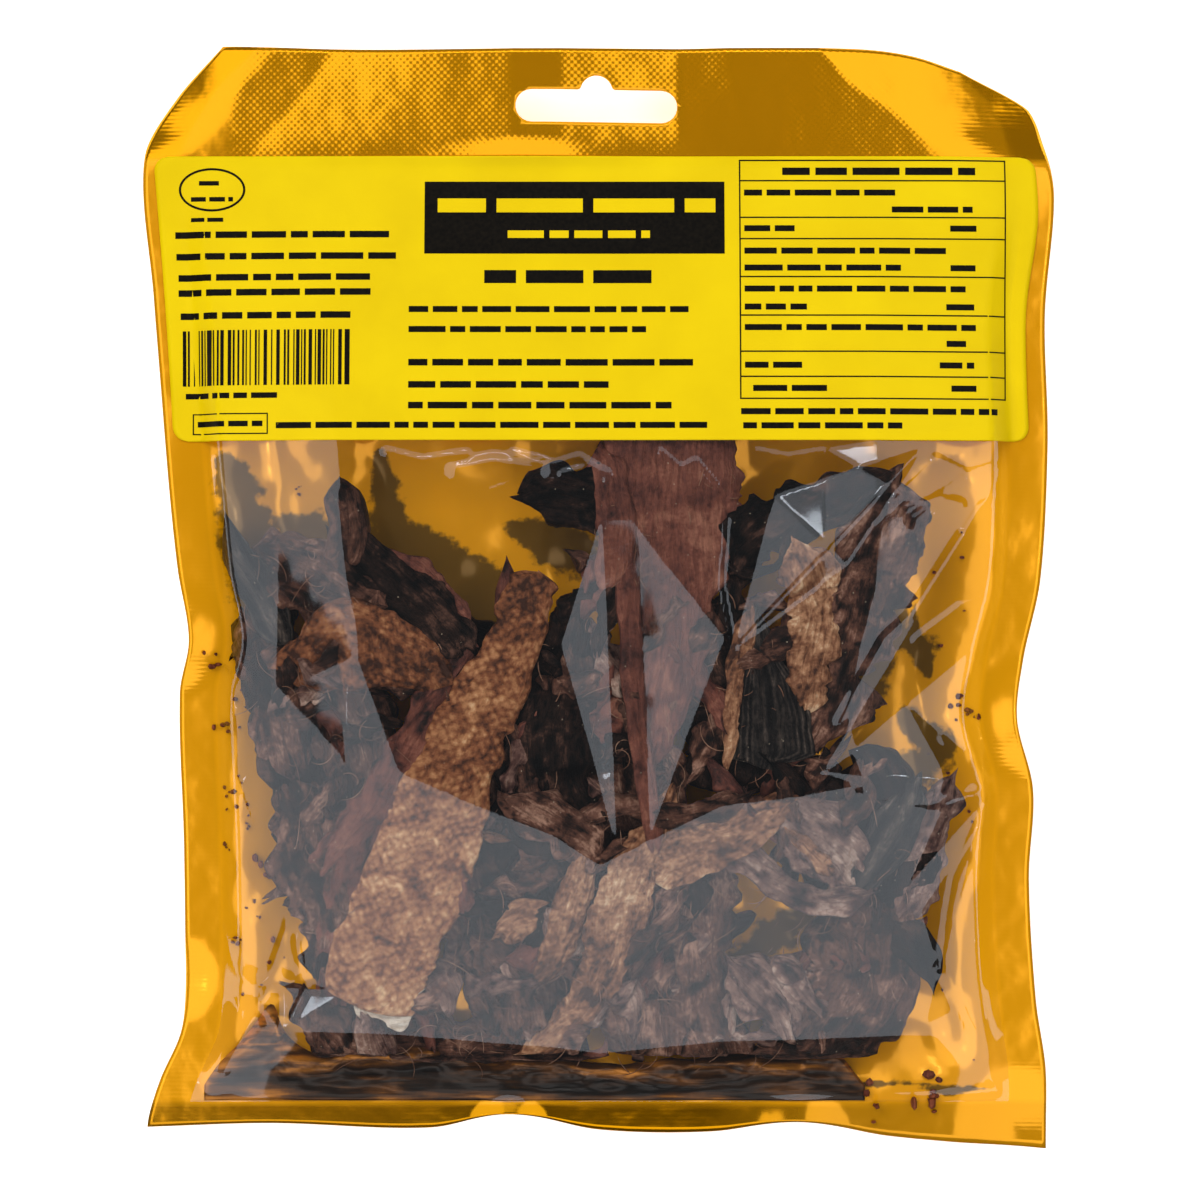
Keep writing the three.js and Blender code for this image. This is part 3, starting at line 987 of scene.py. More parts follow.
@dataclass(frozen=True)
class LitTable(Finish):
    """White acrylic sheet with a lamp under it, as used to photograph goods on plain white."""

    glow: float = 0.55
    cloud_width: float = 3.0

    def surface(self, tree: bpy.types.NodeTree) -> dict[str | int, object]:
        """Sets a matt white with a faint unevenness, and the light that comes through it.

        Args:
            tree: the material's node tree.

        Returns:
            What goes into the shader.
        """
        place = add(tree, "TexCoord").outputs["Object"]
        cloud = add(tree, "TexNoise", {"Vector": place, "Scale": scale_for(self.cloud_width), "Detail": 3.0})
        return {
            "Base Color": add(tree, "ValToRGB", {"Fac": cloud}, stops=((0.2, "#F4F4F2"), (0.8, "#F8F8F7"))),
            "Roughness": 0.9,
            "Emission Color": (1.0, 1.0, 1.0, 1.0),
            "Emission Strength": self.glow,
        }


# ---- Foil and film ----


@dataclass(frozen=True)
class HangHole:
    """The slot for a shop hook: round ends and a round peg notch in its upper side."""

    x: float = -0.6
    y: float = 97.8
    width: float = 32.1
    height: float = 6.4
    notch_radius: float = 3.2
    notch_rise: float = 2.8
    fillet: float = 0.8
    steps: int = 12

    def outline(self) -> Array:
        """Points round the slot, anticlockwise: straight sides joined by arcs of circles.

        Returns:
            One row of x and y for each point.
        """
        half = self.height / 2.0
        arm = self.width / 2.0 - half
        centre = self.y + self.notch_rise
        lift = self.y + half + self.fillet - centre
        reach = math.sqrt((self.notch_radius + self.fillet) ** 2 - lift**2)
        touch = math.atan2(lift, reach)
        quarter = math.pi / 2.0
        arcs = (
            (self.x + arm, self.y, half, -quarter, quarter),
            (self.x + reach, self.y + half + self.fillet, self.fillet, -quarter, touch - math.pi),
            (self.x, centre, self.notch_radius, touch, math.pi - touch),
            (self.x - reach, self.y + half + self.fillet, self.fillet, -touch, -quarter),
            (self.x - arm, self.y, half, quarter, 3.0 * quarter),
        )
        parts = []
        for cx, cy, radius, begin, end in arcs:
            turn = np.linspace(begin, end, self.steps)
            parts.append(np.stack([cx + radius * np.cos(turn), cy + radius * np.sin(turn)], axis=-1))
        return np.concatenate(parts)

    def cutter(self, low: float, high: float) -> bpy.types.Object:
        """A closed prism of the slot's outline, from one height to the other.

        Args:
            low: where it starts.
            high: where it ends.

        Returns:
            An object to cut with, which the caller removes.
        """
        ring = self.outline()
        count = len(ring)
        points = np.concatenate([stack(ring[:, 0], ring[:, 1], low), stack(ring[:, 0], ring[:, 1], high)])
        mesh = bpy.data.meshes.new("hang_hole_cutter")
        sides = [[i, (i + 1) % count, (i + 1) % count + count, i + count] for i in range(count)]
        caps = [list(range(count))[::-1], list(range(count, 2 * count))]
        mesh.from_pydata((points * MM).tolist(), [], sides + caps)
        cutter = bpy.data.objects.new("hang_hole_cutter", mesh)
        bpy.context.scene.collection.objects.link(cutter)
        return cutter


# Broken lines where the fish's reflection is painted dark on the foil: x, y and reach to each side.
PAINTED_REFLECTIONS = (
    ((-74, 27, 3), (-72, 20, 5), (-70, 12, 6), (-68, 3, 6)),
    ((-44, 29, 1.5), (-43.4, 22, 3.4), (-42, 14, 3.4), (-34, 8, 6.5), (-24, 0, 8)),
    ((-62, 14, 4), (-50, 10, 6), (-38, 5, 7)),
    ((-16, 14, 2.5), (-11, 12, 4.5), (-4, 9, 5)),
    ((58, 6, 4), (56, -6, 6.5), (52, -16, 6), (46, -24, 4)),
    ((63, 0, 0.6), (63.5, -6, 1.2), (64.5, -10, 3.4), (66, -15, 1)),
    ((62, -24, 3), (68, -30, 4), (60, -38, 5)),
    ((48, -97.5, 0.9), (60, -96.6, 0.5), (70, -98.4, 1.1), (78, -97.6, 0.5)),
    ((24, -76, 3), (40, -64, 4), (44, -58, 3)),
)


@dataclass(frozen=True)
class BackFoil:
    """The gold back: a tray under the fish, the pressed seals round it and the wide header."""

    name: str = "gold_back"
    width: float = 181.0
    step: float = 1.0
    header_start: float = 87.0
    dotted: tuple[float, float] = (-74.0, 72.0)
    dotted_blur: tuple[float, float] = (2.0, 14.0)
    seal_blur: float = 0.8
    shade_blur: tuple[float, float] = (1.2, 4.0)
    window_mirror: float = 0.38
    side_mirror: float = 0.12
    header_mirror: float = 0.37
    foot_mirror: Stations = ((-90, 0.78), (-55, 0.86), (-5, 0.98), (22, 0.98), (48, 0.62), (90, 0.55))
    # How much darker the foot of the seal is painted across it: a painted reflection of the dark room.
    foot_shade: Stations = ((-90, 0.35), (-50, 0.4), (-5, 0.3), (22, 0.3), (55, 0.3), (90, 0.12))

    def plan(self) -> tuple[Array, Array]:
        """Grid over the whole outline: straight rows, whose ends follow the edges and their waves.

        Returns:
            The grid's places across and up.
        """
        form = FORM
        rows = np.linspace(form.bottom, form.top, int((form.top - form.bottom) / self.step))
        share = np.linspace(0.0, 1.0, int(self.width / self.step))
        y, t = np.meshgrid(rows, share, indexing="ij")
        x = through(form.left_edge, y) * (1.0 - t) + through(form.right_edge, y) * t
        low = np.clip((form.window_bottom - y) / (form.window_bottom - form.bottom), 0.0, 1.0)
        high = np.clip((y - form.top + form.edge_wave_depth) / form.edge_wave_depth, 0.0, 1.0)
        y = y + low * (through(form.bottom_edge, x) - form.bottom)
        y = y + high * (through(form.top_edge, x) - form.top)
        return x, y

    def shade(self, x: Array, y: Array) -> Array:
        """Share of the painted fish reflection: 1 on the broken lines and 0.5 at their reach.

        Args:
            x: places across the pouch.
            y: places up the pouch.

        Returns:
            The nearness, from 0 to 1.
        """
        deep = np.full(x.shape, -1.0)
        for line in PAINTED_REFLECTIONS:
            for start, end in zip(line[:-1], line[1:], strict=True):
                share, apart = beside(x, y, start, end)
                reach = start[2] + (end[2] - start[2]) * share
                deep = np.maximum(deep, (reach - apart) / np.clip(reach, *self.shade_blur))
        return np.clip(0.5 + 0.5 * deep, 0.0, 1.0)

    def build(self, finish: bpy.types.Material) -> bpy.types.Object:
        """Makes the closed sheet and cuts the hang hole through it.

        Args:
            finish: the foil's material.

        Returns:
            The piece.
        """
        x, y = self.plan()
        under = FORM.tray(x, y)
        edge = np.minimum(x - through(FORM.left_edge, y), through(FORM.right_edge, y) - x)
        sides = smooth((FORM.side_seal - edge) / self.seal_blur)
        bottom = smooth((FORM.window_bottom - y) / self.seal_blur)
        header = smooth(y - self.header_start)
        (left, right), (left_blur, right_blur) = self.dotted, self.dotted_blur
        middle = smooth((x - left) / left_blur) * smooth((right - x) / right_blur)
        mirror = self.window_mirror + self.side_mirror * sides + self.header_mirror * header
        mirror = mirror * (1.0 - bottom) + straight(self.foot_mirror, x) * bottom
        ribs = np.clip(sides + 0.2 * bottom + header * (1 - middle), 0, 1)
        # dim paints the foot of the seal darker: painted reflection.
        dim = straight(self.foot_shade, x) * bottom
        # Painted reflection of the fish, kept off the header.
        shade = self.shade(x, y) * (1.0 - header)
        values = {"dots": header * middle, "ribs": ribs, "mirror": mirror, "shade": shade, "dim": dim}
        shape = closed_sheet(x, y, under, under + FORM.foil, values)
        piece = shape.piece(self.name, finish)
        cutter = HangHole().cutter(-5.0, 30.0)
        cut = piece.modifiers.new("hang_hole", "BOOLEAN")
        cut.object = cutter
        cut.operation = "DIFFERENCE"
        cut.solver = "EXACT"
        graph = bpy.context.evaluated_depsgraph_get()
        result = bpy.data.meshes.new_from_object(piece.evaluated_get(graph))
        piece.modifiers.clear()
        piece.data = result
        bpy.data.objects.remove(cutter)
        return piece


@dataclass(frozen=True)
class FrontFilm:
    """The clear front, pulled over the fish and pinched at the seals."""

    name: str = "clear_front"
    size: tuple[float, float] = (166.0, 186.5)
    step: float = 0.6
    unevenness: float = 0.035

    def build(self, finish: bpy.types.Material) -> bpy.types.Object:
        """Makes the film as one surface over the window, with its creases and slight unevenness.

        Args:
            finish: the film's material.

        Returns:
            The piece.
        """
        form = FORM
        rows = np.linspace(form.window_bottom, form.window_top, int(self.size[1] / self.step))
        share = np.linspace(0.0, 1.0, int(self.size[0] / self.step))
        y, t = np.meshgrid(rows, share, indexing="ij")
        x = form.left(y) * (1.0 - t) + form.right(y) * t
        z = form.film(x, y) + sum(crease.lift(x, y) for crease in CREASES)
        ripple = noise(stack(x, y, 0.0 * x), 7.0, 331, 2)
        z = z + smooth(form.inset(x, y) / 3.0) * self.unevenness * ripple
        return Shape(stack(x, y, z).reshape(-1, 3), [grid_faces(*x.shape)], {}).piece(self.name, finish)


@dataclass(frozen=True)
class GussetFold:
    """The foil gathered up behind the film at the window's foot, the fish's shade painted on it."""

    name: str = "gusset_fold"
    width: float = 132.0
    step: float = 0.6
    rows: int = 20
    thickness: float = 0.2
    foot: float = -100.2
    crest: Stations = (
        (-79.6, -98.6), (-75, -92.5), (-69, -84.5), (-65.5, -80.5), (-62.9, -85.5), (-57, -90.2),
        (-41.7, -90), (-29.9, -89), (-24.8, -91.6), (1.1, -92.4), (20.6, -91.8), (40, -89.6), (46.4, -89.8),
        (53, -97.0),
    )  # fmt: skip

    def build(self, finish: bpy.types.Material) -> bpy.types.Object:
        """Makes the fold as a crumpled closed sheet between the tray and the film.

        Args:
            finish: the shaded foil's material.

        Returns:
            The piece.
        """
        places = np.linspace(self.crest[0][0] + 0.6, self.crest[-1][0], int(self.width / self.step))
        x, t = np.meshgrid(places, np.linspace(0.0, 1.0, self.rows), indexing="ij")
        fray = noise(stack(x, 0.0 * x, 0.0 * x), 7.0, 351, 3)
        y = self.foot + t * (through(self.crest, x) + fray - self.foot)
        low = FORM.tray(x, y) + FORM.foil + 0.12
        high = np.maximum(FORM.film(x, y) - 0.3, low + 0.25)
        folds = np.abs(noise(stack(x, y, 0.0 * x), (12.0, 4.5, 9.0), 353, 3))
        share = np.clip(0.95 - 0.9 * folds, 0.15, 0.95) * (1.0 - 0.5 * smooth((t - 0.85) / 0.15))
        upper = low + 0.22 + (high - low - 0.22) * share
        # Painted highlight towards the crest, and painted sheen at the left end and along the foot.
        painted_sheen = 0.9 * smooth((-52.0 - x) / 16.0) + 0.6 * smooth((0.22 - t) / 0.15)
        values = {"relief": smooth((t - 0.35) / 0.5) + painted_sheen}
        return closed_sheet(x, y, upper - self.thickness, upper, values).piece(self.name, finish)


# ---- Fish ----


class Tissue(Enum):
    """What a fish piece shows: it picks the relief of its mesh and its material."""

    SKIN = "skin"
    PALE_SKIN = "pale_skin"
    FLESH = "flesh"
    RED_FLESH = "red_flesh"
    PINK_FLESH = "pink_flesh"
    BLACK_FLESH = "black_flesh"
    FIN = "fin"
    MEMBRANE = "membrane"


SKIN, PALE, FLESH, RED, PINK, BLACK, FIN, MEMBRANE = Tissue
SKINS = (SKIN, PALE)
FIN_RAYS = 6.5  # fin rays in half a fin's width
POCKET_PITCH = (2.1, 2.3)  # from one scale pocket to the next, along and across
TORN_SHARE = 0.35  # how much of a piece's length its torn end reaches into


@dataclass(frozen=True)
class FishPiece:
    """A torn strip or chunk of fillet: a flat rounded section carried along a path.

    The path gives x, y, depth of its middle under the film and width at each station. The piece
    turns about its path from the first to the second roll, its edges wander by ragged, its ends
    are torn by torn, and its whole sheet is crumpled. A shift above 0 makes an end paler, and
    grain scales how deep the creases of its flesh are and how dark the shade painted in them is.
    """

    name: str
    tissue: Tissue
    path: tuple[tuple[float, float, float, float], ...]
    thickness: float = 3.0
    roll: tuple[float, float] = (0.0, 0.0)
    cup: float = 0.0
    crumple: float = 1.2
    ragged: float = 1.0
    torn: float = 2.5
    taper: tuple[float, float] = (3.0, 3.0)
    step: float = 0.6
    seed: int = 1
    foot: float = -90.2
    shift: tuple[float, float] = (0.0, 0.0)
    grain: float = 1.0

    def shape(self) -> Shape:
        """Carries the section along the path and gives it the relief of its tissue.

        Half the width is the path's, plus an uneven edge, times an end share that rises as the
        square root of the distance from each end. Points near an end move along the path by noise,
        which tears it. The height is the section's, a superellipse, plus bend, cup and relief.

        Returns:
            The closed shape, with its values along, across and relief.
        """
        stations = np.array(self.path, dtype=float)
        run = np.r_[0.0, np.cumsum(np.linalg.norm(np.diff(stations[:, :2], axis=0), axis=1))]
        length = float(run[-1])
        rows = max(14, int(length / self.step))
        columns = max(18, int(2.3 * stations[:, 3].max() / self.step))
        s = np.linspace(0.0, length, rows)[:, None]
        turn = np.linspace(0.0, TAU, columns, endpoint=False)[None, :]
        cosine, sine = np.cos(turn), np.sin(turn)
        across = np.sign(cosine) * np.abs(cosine) ** 0.8
        high = np.sign(sine) * np.abs(sine) ** 0.6

        near_end = np.clip(1.0 - np.minimum(s, length - s) / (TORN_SHARE * length), 0.0, 1.0)
        tear = stack(0.0 * s, 4.0 * across + 20.0 * (s > length / 2), 5.3 * self.seed)
        shifted = s + self.torn * near_end * noise(tear, 2.2, self.seed + 3, 3)
        line = self.line(run, stations, shifted)
        width = through(tuple(zip(run, stations[:, 3], strict=True)), s)
        heading = self.line(run, stations, s + 0.5) - self.line(run, stations, s - 0.5)
        heading /= np.linalg.norm(heading, axis=-1, keepdims=True)
        side = np.cross(heading, np.array([0.0, 0.0, 1.0]))
        side /= np.linalg.norm(side, axis=-1, keepdims=True)
        up = np.cross(side, heading)
        roll = np.radians(self.roll[0] + (self.roll[1] - self.roll[0]) * s / length)[..., None]
        side, up = side * np.cos(roll) + up * np.sin(roll), up * np.cos(roll) - side * np.sin(roll)

        first, last = self.taper
        ends = np.sqrt(np.clip(s / first, 0.0, 1.0)) * np.sqrt(np.clip((length - s) / last, 0.0, 1.0))
        rim = stack(s, np.where(cosine >= 0, 40.0, 0.0), 3.1 * self.seed)
        wander = 1.4 * noise(rim, 8.0, self.seed, 2) + 0.9 * noise(rim, 3.7, self.seed + 9)
        wander += (0.7 + 0.9 * noise(rim, 11.0, self.seed + 7)) * noise(rim, 1.9, self.seed + 5, 3)
        half = np.maximum(ends * (0.5 * width + self.ragged * wander), 0.2)
        sheet = stack(s, half * across, 9.7 * self.seed)
        bend = self.crumple * 1.3 * noise(sheet, 8.0, self.seed + 11, 2)
        crease = np.abs(noise(sheet, (8.0, 3.2, 5.0), self.seed + 17, 3))
        thick = 0.5 * self.thickness * (0.3 + 0.7 * ends)
        rough = self.relief(sheet, s / length, across, crease) * (0.3 + 0.7 * ends)
        lift = thick * high + self.cup * across**2 + bend + np.abs(high) * rough * np.sign(high + 0.3)
        rings = line + side * (half * across)[..., None] + up * lift[..., None]
        shift = self.shift[0] + np.diff(self.shift) * s / length
        values = {
            "along": sheet[..., 0] + 13.0 * self.seed,
            "across": half * across + 1.5 * thick * high,
            # The tone: the tissue's pattern, with painted shade in its creases.
            "relief": self.tone(sheet, across, crease) + shift,
        }
        return closed_tube(self.packed(rings), values)

    def line(self, run: Array, stations: Array, s: Array) -> Array:
        """Points of the path at their depth under the film, straight on past both ends.

        Args:
            run: the length along the path at each station.
            stations: x, y, depth and width of each station.
            s: the lengths to read.

        Returns:
            The points.
        """
        x, y, depth = (through(tuple(zip(run, stations[:, k], strict=True)), s) for k in range(3))
        first, last = stations[1, :2] - stations[0, :2], stations[-1, :2] - stations[-2, :2]
        before, after = np.minimum(s, 0.0), np.maximum(s - run[-1], 0.0)
        x = x + before * first[0] / np.hypot(*first) + after * last[0] / np.hypot(*last)
        y = y + before * first[1] / np.hypot(*first) + after * last[1] / np.hypot(*last)
        return stack(x, y, FORM.film(x, y) - depth)

    def cells(self, sheet: Array) -> Array:
        """Scale pockets: 1 in the middle of each pocket and 0 between them.

        The pockets' middles stand in staggered rows, each moved a little by its own hash, and the
        value falls with the squared distance to the nearest one.

        Args:
            sheet: millimetres along and across the piece, and its own third number.

        Returns:
            The value at each point.
        """
        warp = np.stack([noise(sheet, 6.0, self.seed + 21), noise(sheet, 6.0, self.seed + 22)], axis=-1)
        scaled = (sheet[..., :2] + 0.5 * warp) / np.array(POCKET_PITCH)
        nearest = np.full(scaled.shape[:-1], 9.0)
        for shift in (0.0, 0.5):
            centre = np.round(scaled - shift)
            cell = np.concatenate([centre, np.full(centre.shape[:-1] + (1,), 2.0 * shift)], axis=-1)
            jitter = 0.16 * hashed(cell.astype(np.int64), self.seed)
            offset = scaled - shift - centre
            distance = (offset[..., 0] - jitter) ** 2 + (offset[..., 1] + jitter) ** 2
            nearest = np.minimum(nearest, distance)
        return np.clip(1.0 - nearest / 0.17, 0.0, 1.0)

    def relief(self, sheet: Array, share: Array, across: Array, crease: Array) -> Array:
        """Height of the tissue's own relief over the sheet, in millimetres.

        Args:
            sheet: millimetres along and across the piece, and its own third number.
            share: how far along the piece, from 0 to 1.
            across: from -1 at one edge to 1 at the other.
            crease: 0 along the creases, rising away from them.

        Returns:
            The height.
        """
        fine = noise(sheet, 1.5, self.seed + 31, 2)
        if self.tissue in SKINS:
            lumps = noise(sheet, 5.0, self.seed + 33, 2)
            return 0.3 * self.cells(sheet) + 0.45 * np.minimum(crease, 0.5) + 0.35 * lumps + 0.1 * fine
        if self.tissue is Tissue.FIN:
            return 0.5 * np.cos(TAU * FIN_RAYS * across) * np.sqrt(share) + 0.12 * fine
        fibres = noise(sheet, (8.0, 1.3, 5.0), self.seed + 37, 2)
        return self.grain * (2.0 * np.minimum(crease, 0.7) + 0.6 * fibres + 0.3 * fine)

    def tone(self, sheet: Array, across: Array, crease: Array) -> Array:
        """Brightness of the colour: painted shade in creases, pale on pockets and fin rays.

        Args:
            sheet: millimetres along and across the piece, and its own third number.
            across: from -1 at one edge to 1 at the other.
            crease: 0 along the creases, rising away from them.

        Returns:
            The brightness, from -1 to 1.
        """
        broad = noise(sheet, 9.0, self.seed + 41, 2)
        hollow = smooth(crease / 0.22)
        if self.tissue in SKINS:
            strong = 1.3 if self.tissue is Tissue.SKIN else 0.7
            pockets = strong * (self.cells(sheet) - 0.5)
            # The skin's creases are painted darker: painted shade.
            return np.clip(pockets + 0.4 * broad - 0.7 * (1.0 - hollow), -1.0, 1.0)
        if self.tissue is Tissue.FIN:
            rays = 0.9 * np.cos(TAU * FIN_RAYS * across)
            return np.clip(rays + 0.3 * broad, -1.0, 1.0) + 0.0 * sheet[..., 0]
        # Painted shade: darker along the flesh's creases, scaled by grain.
        crease_shade = self.grain * (0.3 * crease + 1.2 * hollow - 1.2)
        return np.clip(0.5 * broad + crease_shade + 0.3, -1.0, 1.0)

    def packed(self, rings: Array) -> Array:
        """Presses the piece flat where it would cross the film over it or the foil under it.

        Below the foot line it is squeezed to a quarter of its length, and each piece stops at its
        own small distance under the film, so that two of them never share one face.

        Args:
            rings: the piece's points.

        Returns:
            The points, moved where they have to be.
        """
        y = rings[..., 1]
        y = np.where(y < self.foot, self.foot + 0.25 * (y - self.foot), y)
        x = np.clip(rings[..., 0], FORM.left(y) + 1.0, FORM.right(y) - 1.0)
        apart = 0.45 if self.tissue is Tissue.SKIN else 0.5 + 1.1 * (0.37 * self.seed % 1.0)
        over = FORM.film(x, y) - apart
        under = np.minimum(FORM.tray(x, y) + FORM.foil + 0.9, over - 0.05)
        return stack(x, y, np.clip(rings[..., 2], under, over))


